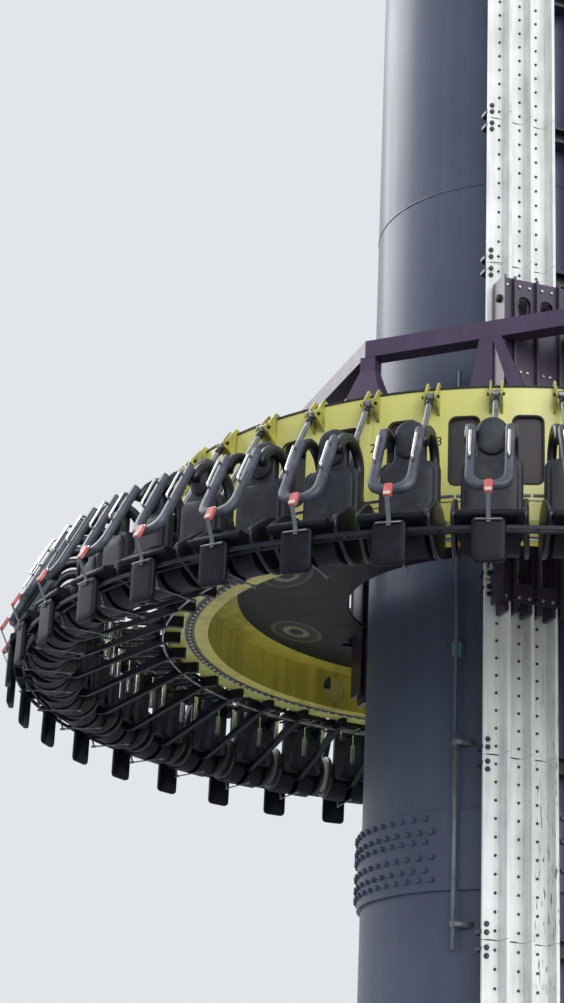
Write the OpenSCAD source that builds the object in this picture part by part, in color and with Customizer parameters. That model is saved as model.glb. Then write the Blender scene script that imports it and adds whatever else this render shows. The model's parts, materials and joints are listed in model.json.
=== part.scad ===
// Drop tower ride, drawn as a scale model at one tenth of the real size, in millimetres.
// The ride vehicle is drawn part way up the tower, where its bottom hangs at ring_bottom_z.
// The front is -Y. An azimuth is measured from the front, counter-clockwise seen from above.

/* [Tower] */
// Height of the whole tower
tower_h = 9600; // [9000:50:10000]
// Outer diameter of the tower tube
tube_d = 292; // [284:1:296]
// Wall of the tower tube
tube_wall = 3; // [2:0.5:6]
// Height of the lowest splice between tube sections
first_splice_z = 552; // [540:1:564]
// Length of one tube section
section_l = 1200; // [1150:10:1250]
// Gap between two tube sections, hidden by the collar
section_gap = 0.4; // [0.2:0.1:1]
// Height of the collar that joins two tube sections
collar_h = 75; // [60:1:90]
// Thickness of that collar
collar_t = 3.5; // [2:0.5:5]
// Width of the base flange outside the tube
flange_w = 59; // [50:1:70]
// Thickness of the base flange
flange_t = 8; // [6:1:12]
// Number of anchor bolt holes in the base flange
anchor_n = 24; // [12:2:36]
// Diameter of an anchor bolt hole
anchor_d = 6; // [4:0.5:8]
// Distance of the anchor bolts from the flange's edge
anchor_edge = 15; // [10:1:20]
// Height of the gussets on the base flange
gusset_h = 52; // [30:1:60]
// Thickness of a gusset
gusset_t = 3; // [2:0.5:5]

/* [Rails] */
// Height of the lowest rail joint
first_joint_z = 123; // [115:1:135]
// Height of one bay of brake fins, from joint to joint
bay_h = 169; // [165:1:172]
// Number of bays that carry brake fins
brake_bays = 19; // [17:1:20]
// Number of plain rail lengths above the brake fins
plain_bays = 5; // [4:1:6]
// Seam between two rail lengths
rail_seam = 0.5; // [0.3:0.1:1]
// Distance of the back of the rail plates from the tower's axis
rail_y = 164; // [160:0.5:168]
// Thickness of a rail plate
rail_t = 3; // [2:0.5:4]
// Distance of the inner edge of a rail plate from the centre line
rail_in = 33; // [31:0.5:35]
// Width of a front rail plate
rail_w = 70.6; // [68:0.2:72]
// Distance of the first brake fin from the centre line
fin_in = 37.8; // [37:0.1:38.5]
// Distance from one brake fin to the next
fin_pitch = 24.3; // [24:0.1:24.6]
// Number of brake fins on one front rail plate
fin_n = 3; // [2:1:3]
// Number of brake fins on one back rail plate
back_fin_n = 2; // [1:1:2]
// Width of a back rail plate
back_rail_w = 59; // [54:0.5:60]
// Thickness of a brake fin
fin_t = 3.2; // [2:0.2:4]
// Depth of a brake fin in front of its plate
fin_h = 18; // [14:1:20]
// Depth of the lip on the plain rail plates
lip_h = 10; // [6:1:14]
// Height of a rail bracket
bracket_h = 18; // [14:1:20]
// Thickness of a rail bracket's two plates
bracket_t = 3; // [2:0.5:4]
// Distance of the web between them from the rail plate
web_off = 9; // [6:1:12]
// Width of the rounded cheek that a rail bracket leaves beside the tube
bracket_back = 62; // [50:1:66]
// Width of the guide rail
guide_w = 16; // [12:1:18]
// Depth of the guide rail
guide_h = 12; // [8:1:14]
// Number of guide rail lengths
guide_n = 8; // [6:1:10]

/* [Services] */
// Azimuth of the conduit pipe and the junction box
conduit_az = -44; // [-50:1:-42]
// Diameter of the conduit pipe
conduit_d = 3.4; // [2:0.2:5]
// Gap between the tube and the conduit pipe
conduit_off = 7; // [5:0.5:8]
// Lower end of the conduit pipe
conduit_z = 459; // [440:1:480]
// Length of the conduit pipe
conduit_l = 202; // [180:1:220]
// Height of the flat bars that hold the conduit pipe
conduit_bar_h = 5; // [3:0.5:8]
// Thickness of those bars
conduit_bar_t = 2; // [1:0.25:3]
// Side of the junction box
box_w = 9; // [6:1:14]
// Height of the junction box
box_h = 14; // [10:1:20]
// Height of the junction box above the ground
box_z = 738; // [720:1:760]

/* [Tower head] */
// Height of the head above the deck
head_h = 200; // [160:5:240]
// Diameter of the service deck
deck_d = 540; // [500:5:600]
// Thickness of the service deck
deck_t = 6; // [4:1:10]
// Depth of the ribs under the deck
deck_rib_h = 36; // [24:1:44]
// Number of ribs under the deck and of railing posts
deck_rib_n = 24; // [12:2:30]
// Height of the railing
railing_h = 110; // [100:1:120]
// Diameter of the railing's tubes
railing_d = 4; // [3:0.5:6]
// Width of a sheave housing
sheave_w = 84; // [70:1:100]
// Depth of a sheave housing
sheave_l = 92; // [80:1:100]
// Height of a sheave housing
sheave_h = 96; // [80:1:110]
// Distance of the sheave housings from the tower's axis
sheave_y = 139; // [136:1:144]
// Diameter of the head's cap
cap_d = 262; // [240:1:268]

/* [Ride vehicle] */
// Height of the vehicle's bottom edge above the ground, as drawn
ring_bottom_z = 791; // [780:1:800]
// Outer diameter of the yellow drum
drum_d = 720; // [710:1:730]
// Height of the yellow drum
drum_h = 134; // [126:1:140]
// Thickness of the drum's sheet
drum_t = 3; // [2:0.5:4]
// Width of the drum's section
drum_w = 25; // [22:0.5:28]
// Chamfer at the drum's lower edge
drum_chamfer = 6; // [4:0.5:8]
// Number of drum segments
segment_n = 20; // [20:20:40]
// Seam between two drum segments
drum_seam = 0.3; // [0.2:0.1:0.6]
// Width of a window in the drum
window_w = 27; // [22:0.5:30]
// Height of a window in the drum
window_h = 65; // [55:1:70]
// Height of the window's sill above the drum's lower edge
window_sill = 40; // [34:1:46]
// Corner radius of a window
window_r = 6; // [3:0.5:8]
// Thickness of a window pane
pane_t = 1.2; // [0.8:0.1:1.6]
// Running gap between the drum and the slewing ring
bearing_gap = 0.4; // [0.3:0.1:0.6]
// Width of the slewing ring
bearing_w = 9.6; // [8:0.2:12]
// Height of the slewing ring
bearing_h = 12; // [9:0.5:16]
// Width of the inner ring's bottom flange
inner_flange_w = 11; // [8:0.5:14]
// Height of the inner ring
inner_h = 45; // [42:0.5:50]
// Width of the inner ring's top flange
inner_top_w = 31; // [26:0.5:36]
// Diameter of the round holes in the inner ring
inner_hole_d = 30; // [24:1:34]
// Number of inner ring and slewing ring segments
inner_n = 8; // [8:4:16]
// Gap between the ceiling panels and round them
panel_gap = 0.3; // [0.2:0.1:0.8]
// Number of round holes in the inner ring
inner_hole_n = 4; // [4:4:8]
// Azimuth of the first of these holes
inner_hole_a = 15; // [12:1:18]
// Radial gap between the tube and the ceiling panels
well_gap = 22; // [18:0.5:26]
// Clearance between the rail plates and the ceiling panels
well_side_gap = 8; // [8:0.5:10]

/* [Carriage frame] */
// Height of the frame's top above the drum's top
frame_rise = 133; // [125:1:140]
// Height of the top frame's beams
beam_h = 18; // [16:0.5:20]
// Width of the top frame's beams
beam_w = 19; // [16:0.5:19]
// Height of the floor beams
floor_beam_h = 14; // [12:0.5:16]
// Width of the floor beams
floor_beam_w = 16; // [13:0.5:18]
// Half of the frame's width, at its corners
frame_x = 206; // [200:1:212]
// Distance of those corners from the centre line
frame_corner_y = 99; // [94:1:104]
// Half of the width of the frame's short sides
frame_short_x = 36; // [34:1:42]
// Half of the frame's length
frame_y = 268; // [262:1:274]
// Width of the posts under the top frame
post_top_w = 16; // [12:0.5:18]
// Width of the posts' lower part
post_low_w = 40; // [34:0.5:42]
// Length of the posts' narrow neck
post_neck = 15; // [10:1:20]
// Depth below the top frame where posts and braces have their full width
taper_drop = 54; // [48:1:60]
// Thickness of the braces
brace_t = 5.5; // [4:0.25:5.5]
// Distance of the braces' common point from the middle of a diagonal
brace_at = 60; // [56:0.5:64]
// Width of the wide leg of a pair of braces, at its top
leg_top_w = 14; // [10:0.5:16]
// Width of that leg's lower part
leg_low_w = 24; // [18:0.5:26]
// Width of the other leg at its top
stay_top_w = 9; // [7:0.5:11]
// Width of that leg's lower part
stay_low_w = 15; // [12:0.5:18]
// Sideways run of that leg
stay_run = 16; // [12:0.5:18]
// Distance of the long floor beams from the centre line
floor_x = 198; // [192:1:204]
// Distance of the cross floor beams from the centre line
floor_y = 212; // [210:0.5:216]

/* [Magnet housings] */
// Clearance between a brake fin and the magnets
magnet_gap = 1.4; // [1:0.1:1.6]
// Thickness of a magnet wall
magnet_t = 4; // [3:0.25:5]
// Clearance in front of the rail plates and the fins
housing_gap = 3; // [2:0.25:5]
// Thickness of the housing's front plate
housing_t = 3.5; // [2.5:0.25:4.5]
// Depth of the ribs on the front plate
rib_h = 6; // [4:0.5:8]
// Thickness of those ribs
rib_t = 2; // [1.5:0.25:3]
// Half of the housing's width
housing_x = 98.5; // [96:0.5:99]
// Height of a magnet wall
magnet_h = 347; // [340:1:352]
// Depth by which the magnet walls hang below the drum's bottom
magnet_drop = 28; // [20:1:36]
// Height by which the magnet walls stick out below the front plate
magnet_tail = 10; // [6:0.5:14]
// Width of the arches in the front plate
arch_w = 14.5; // [10:0.5:15]
// Height of the arches
arch_h = 34; // [26:1:44]
// Solid edge above the arches
arch_edge = 18; // [14:1:26]
// Diameter of the guide rollers
roller_d = 22; // [18:1:24]
// Width of the guide rollers
roller_w = 11; // [8:0.5:12]
// Running gap between rail and roller
roller_gap = 0.3; // [0.2:0.05:0.5]
// Diameter of a roller's axle
axle_d = 6; // [4:0.5:8]
// Side gap between a roller and its bracket
roller_side_gap = 0.8; // [0.5:0.1:1]

/* [Seats] */
// Number of seats
seat_n = 40; // [20:20:40]
// Distance of the front of the seat backs from the drum's wall
seat_off = 90; // [86:1:94]
// Height of the seat pan above the vehicle's bottom edge, negative when below
seat_z = -41; // [-44:0.5:-38]
// Thickness of the seat pan
pan_t = 6; // [4:0.5:8]
// Depth of the seat pan
pan_l = 61; // [58:0.5:64]
// Depth of the scoop in the seat pan
scoop_h = 1.5; // [1:0.25:2.5]
// Half of the seat pan's width
pan_x = 27; // [24:0.5:29]
// Height of the seat back above the pan
back_h = 108; // [100:1:114]
// Thickness of the seat back
back_t = 12; // [9:0.5:14]
// Half of the seat back's width at the shoulders
back_x = 26; // [24:0.5:28]
// Half of the headrest's width
head_x = 13.5; // [12:0.25:13.5]
// Radius of the seat back's corners
back_corner = 8; // [5:0.5:10]
// Height of the seat's shoulders above the pan
shoulder_h = 70; // [64:1:76]
// Radius of the round side bolsters
bolster_r = 25; // [22:0.5:27]
// Depth of the side bolsters
bolster_l = 50; // [44:1:54]
// Height of the bolsters' front end
bolster_nose_h = 17; // [12:0.5:20]
// Thickness of the side bolsters
bolster_t = 4; // [3:0.5:5]
// Height of the calf rest below the pan
calf_h = 39; // [32:1:44]
// Thickness of the calf rest
calf_t = 5.5; // [4:0.5:7]
// Half of the calf rest's width
calf_x = 14; // [12:0.5:18]
// Radius of the calf rest's corners
calf_corner = 5; // [3:0.5:7]
// Radius of the round lobes under the pan
lobe_r = 20; // [16:0.5:20]
// Half of the width over the two lobes
lobe_x = 24; // [20:0.5:26]

/* [Restraints] */
// Distance of the restraint's lower end from the seat back
bib_out = 56; // [53:1:58]
// Height of the restraint's lower end above the pan
bib_z = 16; // [14:0.5:20]
// Distance of the restraint's upper end from the seat back
horn_out = 21; // [19:1:24]
// Height of the restraint's upper end above the pan
horn_z = 85; // [82:1:88]
// Half of the restraint's outer width
bib_x = 20; // [19:0.5:21]
// Width of one horn
horn_w = 8; // [6:0.5:9]
// Thickness of the restraint
bib_t = 8; // [6:0.5:9]
// Radius of the corners at the foot of the restraint
bib_corner = 12; // [9:0.5:14]
// Height of the bar across the foot of the restraint
bib_foot = 6; // [5:0.5:10]
// Thickness of a shoulder arm
arm_t = 9; // [6:0.5:10]
// Width of a shoulder arm
arm_w = 8; // [5:0.5:8]
// Distance by which the shoulder arms stick out beside the horns
arm_side = 2; // [1.5:0.25:3]
// Outer radius of a shoulder arm's bend
arm_r = 26; // [24:0.25:27]
// Height of that bend's centre above the pan
arm_z = 72; // [71:0.5:75]
// Radius of the disc at a shoulder arm's pivot
pivot_r = 7; // [5.5:0.5:7.5]
// Height of that pivot above the pan
pivot_z = 45; // [40:1:50]
// Thickness of a grab handle
handle_d = 2.6; // [2:0.2:3.2]
// Length of a grab handle
handle_l = 24; // [18:0.5:26]
// Distance of a grab handle from the horn's tip
handle_drop = 13; // [10:0.5:16]
// Gap between a grab handle and the horn
handle_off = 3; // [2:0.25:4]
// Width of the belt buckle
buckle_w = 7; // [6:0.5:10]
// Height of the belt buckle
buckle_h = 14; // [10:0.5:16]
// Thickness of the belt buckle
buckle_t = 3; // [2:0.25:4]
// Width of the belt strap
strap_w = 3.5; // [3:0.5:6]
// Thickness of the belt strap
strap_t = 1; // [0.8:0.1:1.5]

/* [Seat carriers] */
// Height of a rim bracket's pin below the drum's top
pin_z = 13; // [11:0.5:15]
// Distance of that pin from the drum's wall
pin_off = 12; // [10:0.5:14]
// Diameter of that pin
pin_d = 3; // [2.4:0.1:3.6]
// Radius of the round boss that holds the pin
boss_r = 4.2; // [3.6:0.1:4.8]
// Clearance of the pin in its holes
pin_gap = 0.1; // [0.05:0.05:0.2]
// Height of a bracket's ears above the drum's rim
ear_h = 5; // [3:0.5:8]
// Length of a bracket's plates below the pin
hook_drop = 14; // [10:0.5:18]
// Thickness of a bracket plate
hook_t = 2; // [1.5:0.25:3]
// Gap between the two plates of a bracket
hook_gap = 8; // [7:0.5:10]
// Diameter of the seat struts
strut_d = 5.2; // [3.5:0.1:5.6]
// Diameter of the eyes on the struts
eye_d = 7.5; // [6.5:0.25:8]
// Height of the strut's lower eye above the pan
strut_z = 53; // [48:1:58]
// Width of a seat arm
arm_x = 6; // [5:0.5:8]
// Depth of a seat arm at the drum
arm_root_h = 11; // [9:0.5:14]
// Depth of a seat arm at its tip
arm_tip_h = 6; // [5:0.5:8]
// Width of a seat arm's foot under the drum
arm_foot_l = 14; // [12:0.5:16]
// Width of the ladder ring
ladder_w = 12; // [9:0.5:12]
// Height of the ladder ring
ladder_h = 3; // [2:0.25:5]
// Width of the ladder ring's rails
ladder_rail = 2.5; // [2:0.25:4]
// Width of the ladder ring's rungs
rung_w = 3; // [2:0.25:5]
// Number of gaps between rungs along one segment
rung_gaps = 4; // [3:1:8]
// Height of the tie rods above the vehicle's bottom edge
tie_z = 7.4; // [6:0.2:9]
// Distance of the tie rods from the drum's wall
tie_off = 54; // [48:1:58]
// Diameter of the tie rods
tie_d = 3; // [2:0.25:3.5]
// Diameter of the spokes behind the seats
spoke_d = 3.4; // [2.5:0.1:4]
// Distance of the spokes from the seat's centre line
spoke_x = 12; // [10:0.5:14]
// Diameter of the lock cylinders
lock_d = 6; // [4:0.5:7]
// Length of the lock cylinders
lock_l = 30; // [26:1:34]
// Diameter of the gas springs
spring_d = 5; // [4:0.25:6]
// Length of the gas springs
spring_l = 22; // [18:1:24]
// Diameter of the gas springs' rods
rod_d = 1.6; // [1.2:0.1:2.4]
// Length of those rods
rod_l = 13; // [10:1:16]

/* [Hidden] */
$fn = 96;

// Small overlap that makes a cutter run past the face that it cuts
past = 1;
// Clearance between two welded or bolted pieces that are drawn side by side
seat_gap = 0.1;

tube_r = tube_d / 2;
deck_z = tower_h - head_h;
splice_n = ceil((deck_z - first_splice_z) / section_l);
function splice_z(k) = first_splice_z + k * section_l;

rail_face = rail_y + rail_t;
brake_top_z = first_joint_z + brake_bays * bay_h;
rail_top_z = deck_z - deck_rib_h - flange_t;
plain_l = (rail_top_z - brake_top_z) / plain_bays;
function fin_x(i) = fin_in + i * fin_pitch;

drum_r = drum_d / 2;
drum_in_r = drum_r - drum_w;
ring_top_z = ring_bottom_z + drum_h;
segment_a = 360 / segment_n;
seat_a = 360 / seat_n;
bearing_r = drum_in_r - bearing_gap;
flange_r = bearing_r - bearing_w;
wall_r = flange_r - inner_flange_w;
ceiling_z = ring_bottom_z + inner_h;
well_r = tube_r + well_gap;

frame_top_z = ring_top_z + frame_rise;
frame_low_z = frame_top_z - beam_h;
floor_top_z = ceiling_z + floor_beam_h;
taper_z = frame_low_z - taper_drop;
housing_y = rail_face + fin_h + housing_gap;
housing_front = housing_y + housing_t;
magnet_z = ring_bottom_z - magnet_drop;
slot_half = fin_t / 2 + magnet_gap;
housing_in = fin_in - slot_half - 4 * magnet_t;
brace_in = (housing_x + housing_front + rib_h) / sqrt(2) + 3 * seat_gap;
axle_y = rail_y + guide_h + roller_gap + roller_d / 2;
cheek_x = roller_w / 2 + roller_side_gap;

seat_r = drum_r + seat_off;
bib_r = seat_r + bib_out;
horn_r = seat_r + horn_out;
tie_r = drum_r + tie_off;
pan_z = ring_bottom_z + seat_z;
pan_low_z = pan_z - pan_t;
back_rear = seat_r - back_t;
pan_front = seat_r + pan_l;
pin_r = drum_r + pin_off;
pin_h = ring_top_z - pin_z;
eye_r = back_rear - eye_d / 2 - seat_gap;
ladder_r = pan_front - calf_t - seat_gap;
ladder_top = pan_low_z - arm_tip_h;
bib_tilt = atan2(bib_r - horn_r, horn_z - bib_z);
bib_l = norm([bib_r - horn_r, horn_z - bib_z]);
bib_arc = bib_x - horn_w;
buckle_low = buckle_h - 3;
pivot_at = back_rear - pivot_r - seat_gap;
spoke_z = ring_bottom_z + tie_z - (tie_d + spoke_d) / 2 - seat_gap;

// Points of an arc, from angle a to angle b
function arc(cx, cy, r, a, b, n = 8) =
    [for (i = [0:n]) [cx + r * cos(a + (b - a) * i / n), cy + r * sin(a + (b - a) * i / n)]];

// Rectangle with round corners, centred on the origin
module round_box(w, h, r) {
    square([w - 2 * r, h], center = true);
    square([w, h - 2 * r], center = true);
    for (x = [-1, 1], y = [-1, 1]) translate([x * (w / 2 - r), y * (h / 2 - r)]) circle(r, $fn = 32);
}

// Slab whose outline is drawn as distance from the axis and height
module radial_slab(width, x = 0)
    translate([x + width / 2, 0, 0]) rotate([90, 0, -90]) linear_extrude(width) children();

// Slab whose outline is drawn as seen from the front, from distance r outward
module front_slab(r, depth)
    translate([0, -r, 0]) rotate([90, 0, 0]) linear_extrude(depth) children();

module each_seat()
    for (k = [0:seat_n - 1]) rotate([0, 0, k * seat_a]) children();

// The piece as drawn at the front, and turned half round for the back
module both_sides() {
    children();
    rotate([0, 0, 180]) children();
}

// The piece as drawn at the right, and its mirror image at the left
module left_and_right() {
    children();
    mirror([1, 0, 0]) children();
}

// Ring of the given section in like segments with a seam between them
module segments(n, r, seam) {
    seam_a = seam / r * 180 / PI;
    for (k = [0:n - 1])
        rotate([0, 0, -90 - 180 / n + seam_a / 2 + k * 360 / n])
            rotate_extrude(angle = 360 / n - seam_a) children();
}

// Tower

module base_flange() color("#30374a") {
    gusset_l = flange_w - 4;
    difference() {
        cylinder(r = tube_r + flange_w, h = flange_t);
        for (k = [0:anchor_n - 1])
            rotate([0, 0, (k + 0.5) * 360 / anchor_n])
                translate([0, -(tube_r + flange_w - anchor_edge), -past])
                    cylinder(d = anchor_d, h = flange_t + 2 * past, $fn = 32);
    }
    for (k = [0:anchor_n - 1])
        rotate([0, 0, k * 360 / anchor_n]) radial_slab(gusset_t)
            polygon([
                [tube_r + seat_gap, flange_t / 2], [tube_r + gusset_l, flange_t / 2],
                [tube_r + gusset_l, flange_t + gusset_t], [tube_r + 2 * gusset_t, flange_t + gusset_h],
                [tube_r + seat_gap, flange_t + gusset_h]
            ]);
}

module tube_length(z0, z1) difference() {
    translate([0, 0, z0]) cylinder(r = tube_r, h = z1 - z0);
    translate([0, 0, z0 - past]) cylinder(r = tube_r - tube_wall, h = z1 - z0 + 2 * past);
}

module tube_sections() color("#4a5266") {
    tube_length(flange_t, splice_z(0) - section_gap / 2);
    for (k = [0:splice_n - 2])
        tube_length(splice_z(k) + section_gap / 2, splice_z(k + 1) - section_gap / 2);
    tube_length(splice_z(splice_n - 1) + section_gap / 2, deck_z);
}

module splice_collars() color("#414960")
    for (k = [0:splice_n - 1]) translate([0, 0, splice_z(k) - collar_h / 2])
        difference() {
            cylinder(r = tube_r + collar_t, h = collar_h);
            translate([0, 0, -past]) cylinder(r = tube_r, h = collar_h + 2 * past);
        }

// Section of one rail plate of width w with strips of depth h on it, from above with the front down
module rail_section(w, strips, h) {
    translate([rail_in, -rail_face]) square([w, rail_t]);
    for (x = strips) translate([x - fin_t / 2, -rail_face - h]) square([fin_t, h + rail_t / 2]);
}

module brake_columns(w, n) color("#d3d4d0") left_and_right()
    for (k = [0:brake_bays - 1]) translate([0, 0, first_joint_z + k * bay_h])
        linear_extrude(bay_h - rail_seam) rail_section(w, [for (i = [0:n - 1]) fin_x(i)], fin_h);

module brake_columns_front() brake_columns(rail_w, fin_n);

module brake_columns_back() rotate([0, 0, 180]) brake_columns(back_rail_w, back_fin_n);

// Above the brake fins the plates keep two low lips, in line with the outer fins
module plain_plates(w, n) color("#d3d4d0") left_and_right()
    for (k = [0:plain_bays - 1]) translate([0, 0, brake_top_z + k * plain_l])
        linear_extrude(plain_l - rail_seam) rail_section(w, [fin_x(0), fin_x(n - 1)], lip_h);

module plain_rail_plates() {
    plain_plates(rail_w, fin_n);
    rotate([0, 0, 180]) plain_plates(back_rail_w, back_fin_n);
}

// Outline of a saddle's plates, whose ends are hollowed towards the tube
module saddle_outline(half) difference() {
    translate([-half, -rail_y]) square([2 * half, bracket_back]);
    circle(tube_r + collar_t);
    left_and_right() translate([half, -rail_y + bracket_back]) circle(bracket_back - web_off);
}

// Saddle of two plates and a web that carries the rail plates and the guide rail on the tube
module rail_saddle(half) translate([0, 0, -bracket_h / 2]) {
    for (z = [0, bracket_h - bracket_t])
        translate([0, 0, z]) linear_extrude(bracket_t) saddle_outline(half);
    linear_extrude(bracket_h) difference() {
        translate([web_off - half, web_off - rail_y]) square([2 * (half - web_off), bracket_t]);
        circle(tube_r + collar_t);
    }
}

module saddle_column(half) {
    for (k = [0:brake_bays]) translate([0, 0, first_joint_z + k * bay_h]) rail_saddle(half);
    for (k = [1:plain_bays])
        translate([0, 0, brake_top_z + k * plain_l - bracket_h / 2]) rail_saddle(half);
    for (k = [0:plain_bays - 1]) translate([0, 0, brake_top_z + (k + 0.5) * plain_l]) rail_saddle(half);
}

module rail_brackets() color("#30374a") {
    saddle_column(rail_in + rail_w);
    rotate([0, 0, 180]) saddle_column(rail_in + back_rail_w);
}

module guide_rails() color("#23283a") both_sides() {
    l = (rail_top_z - first_joint_z) / guide_n;
    for (k = [0:guide_n - 1])
        translate([-guide_w / 2, -rail_y - guide_h, first_joint_z + k * l])
            cube([guide_w, guide_h, l - rail_seam]);
}

module conduit_pipe() color("#8b9098") {
    pipe_r = tube_r + conduit_off + conduit_d / 2;
    pipe_y = -pipe_r * cos(conduit_az);
    rotate([0, 0, conduit_az]) translate([0, -pipe_r, conduit_z])
        cylinder(d = conduit_d, h = conduit_l, $fn = 32);
    for (z = [conduit_z + 3 * conduit_d, conduit_z + conduit_l - 2 * conduit_d])
        translate([-rail_in - rail_w - seat_gap - conduit_bar_t, -rail_face, z])
            cube([conduit_bar_t, rail_face + pipe_y + conduit_d, conduit_bar_h]);
}

module junction_box() color("#4f8f8c") rotate([0, 0, conduit_az])
    translate([-box_w / 2, -tube_r - box_w, box_z]) difference() {
        cube([box_w, box_w + 2, box_h]);
        translate([box_w / 2, tube_r + box_w, -past]) cylinder(r = tube_r + seat_gap, h = box_h + 2 * past);
    }

// Tower head

module head_deck() color("#4a5266") {
    translate([0, 0, deck_z]) cylinder(d = deck_d, h = deck_t);
    for (k = [0:deck_rib_n - 1]) rotate([0, 0, (k + 0.5) * 360 / deck_rib_n])
        radial_slab(gusset_t) polygon([
            [tube_r + seat_gap, deck_z - deck_rib_h], [tube_r + 2 * gusset_t, deck_z - deck_rib_h],
            [deck_d / 2 - gusset_t, deck_z - gusset_t], [deck_d / 2 - gusset_t, deck_z + deck_t / 2],
            [tube_r + seat_gap, deck_z + deck_t / 2]
        ]);
}

module head_railing() color("#8b9098") {
    rail_r = deck_d / 2 - 2 * railing_d;
    z0 = deck_z + deck_t;
    for (k = [0:deck_rib_n - 1]) rotate([0, 0, k * 360 / deck_rib_n])
        translate([0, -rail_r, z0]) cylinder(d = railing_d, h = railing_h, $fn = 16);
    for (h = [railing_h / 2, railing_h])
        translate([0, 0, z0 + h - railing_d / 2]) rotate_extrude()
            translate([rail_r, 0]) square(railing_d * 0.8, center = true);
}

module sheave_housings() color("#30374a") both_sides()
    translate([0, 0, deck_z + deck_t]) front_slab(sheave_y, sheave_l)
        polygon(concat([[-sheave_w / 2, 0], [sheave_w / 2, 0]],
            arc(0, sheave_h - sheave_w / 2, sheave_w / 2, 0, 180, 24)));

module head_cap() color("#4a5266") {
    z0 = deck_z + deck_t;
    wall_top = tower_h - head_h / 4;
    rotate_extrude() polygon([
        [0, z0], [cap_d / 2, z0], [cap_d / 2, wall_top],
        [cap_d / 8, tower_h - head_h / 20], [cap_d / 8, tower_h], [0, tower_h]
    ]);
}

// Carriage: the part of the vehicle that rides up and down and does not turn

// Elongated octagon, shrunk by d on every side
module frame_outline(d) {
    k = d * tan(22.5);
    polygon([
        [frame_x - d, k - frame_corner_y], [frame_x - d, frame_corner_y - k],
        [frame_short_x - k, frame_y - d], [k - frame_short_x, frame_y - d],
        [d - frame_x, frame_corner_y - k], [d - frame_x, k - frame_corner_y],
        [k - frame_short_x, d - frame_y], [frame_short_x - k, d - frame_y]
    ]);
}

module top_frame() color("#5a4768") {
    translate([0, 0, frame_low_z]) linear_extrude(beam_h) difference() {
        frame_outline(0);
        frame_outline(beam_w);
    }
    both_sides() left_and_right()
        translate([frame_short_x - beam_w, beam_w / 2 - frame_y, frame_low_z + 1])
            cube([beam_w - 2, frame_y - beam_w / 2 - housing_front - rib_h - seat_gap, beam_h - 2]);
}

// Outline of a post, narrow under the top frame
module post_outline() polygon([
    [-post_low_w / 2, floor_top_z], [post_low_w / 2, floor_top_z], [post_low_w / 2, taper_z],
    [post_top_w / 2, frame_low_z - post_neck], [post_top_w / 2, frame_low_z],
    [-post_top_w / 2, frame_low_z], [-post_top_w / 2, frame_low_z - post_neck], [-post_low_w / 2, taper_z]
]);

module frame_posts() color("#5a4768") both_sides() left_and_right()
    translate([floor_x, beam_w / 2 * tan(22.5) - frame_corner_y, 0]) rotate([0, 0, 45]) intersection() {
        front_slab(-post_low_w / 2, post_low_w) post_outline();
        rotate([0, 0, 90]) front_slab(-post_low_w / 2, post_low_w) post_outline();
    }

// Two legs that spread downward from one point under each diagonal beam
module frame_braces() color("#5a4768") both_sides() left_and_right()
    rotate([0, 0, 45]) front_slab(brace_in, brace_t) translate([-brace_at, 0]) {
        polygon([
            [0, floor_top_z], [leg_low_w, floor_top_z], [leg_low_w, taper_z],
            [leg_top_w, frame_low_z], [0, frame_low_z]
        ]);
        polygon([
            [-stay_run, floor_top_z], [-stay_run, taper_z], [past, frame_low_z],
            [-stay_top_w, frame_low_z], [-stay_run - stay_low_w, taper_z],
            [-stay_run - stay_low_w, floor_top_z]
        ]);
    }

// Section of one half of a magnet housing, seen from above with the front down
module magnet_walls() for (i = [0:fin_n - 1], s = [-1, 1])
    translate([fin_x(i) + s * (slot_half + magnet_t / 2) - magnet_t / 2, -housing_y - housing_t / 2])
        square([magnet_t, housing_y + housing_t / 2 - rail_face - housing_gap]);

module housing_plate() {
    translate([housing_in, -housing_front]) square([housing_x - housing_in, housing_t]);
    for (x = [housing_in, housing_x - rib_t])
        translate([x, -housing_front - rib_h])
            square([rib_t, housing_front + rib_h - rail_face - housing_gap]);
    for (i = [0:fin_n - 1])
        translate([fin_x(i) - rib_t / 2, -housing_front - rib_h]) square([rib_t, rib_h + housing_t / 2]);
}

// Arch with its round end up, from height z to z + arch_h
module arch_cut(x, z) translate([0, 0, z]) front_slab(housing_y - past, housing_t + 2 * past)
    translate([x, 0]) polygon(concat([[-arch_w / 2, 0], [arch_w / 2, 0]],
        arc(0, arch_h - arch_w / 2, arch_w / 2, 0, 180)));

module magnet_housing() color("#453350") left_and_right() difference() {
    plate_z = magnet_z + magnet_tail;
    plate_top = magnet_z + magnet_h;
    union() {
        translate([0, 0, magnet_z]) linear_extrude(magnet_h) magnet_walls();
        translate([0, 0, plate_z]) linear_extrude(plate_top - plate_z) housing_plate();
    }
    for (i = [0:fin_n - 2], z = [plate_z + arch_edge, plate_top - arch_edge - arch_h])
        arch_cut(fin_x(i) + fin_pitch / 2, z);
    translate([0, 0, frame_low_z - seat_gap]) linear_extrude(beam_h + 2 * seat_gap) difference() {
        frame_outline(-past);
        frame_outline(beam_w + seat_gap);
    }
}

module magnet_housing_front() magnet_housing();

module magnet_housing_back() rotate([0, 0, 180]) magnet_housing();

roller_heights = [magnet_z + roller_d, magnet_z + magnet_h - roller_d];

module guide_rollers() color("#2a2a2e") both_sides() for (z = roller_heights)
    translate([-roller_w / 2, -axle_y, z]) rotate([0, 90, 0]) difference() {
        cylinder(d = roller_d, h = roller_w);
        translate([0, 0, -past]) cylinder(d = axle_d + 2 * pin_gap, h = roller_w + 2 * past, $fn = 32);
    }

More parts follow.
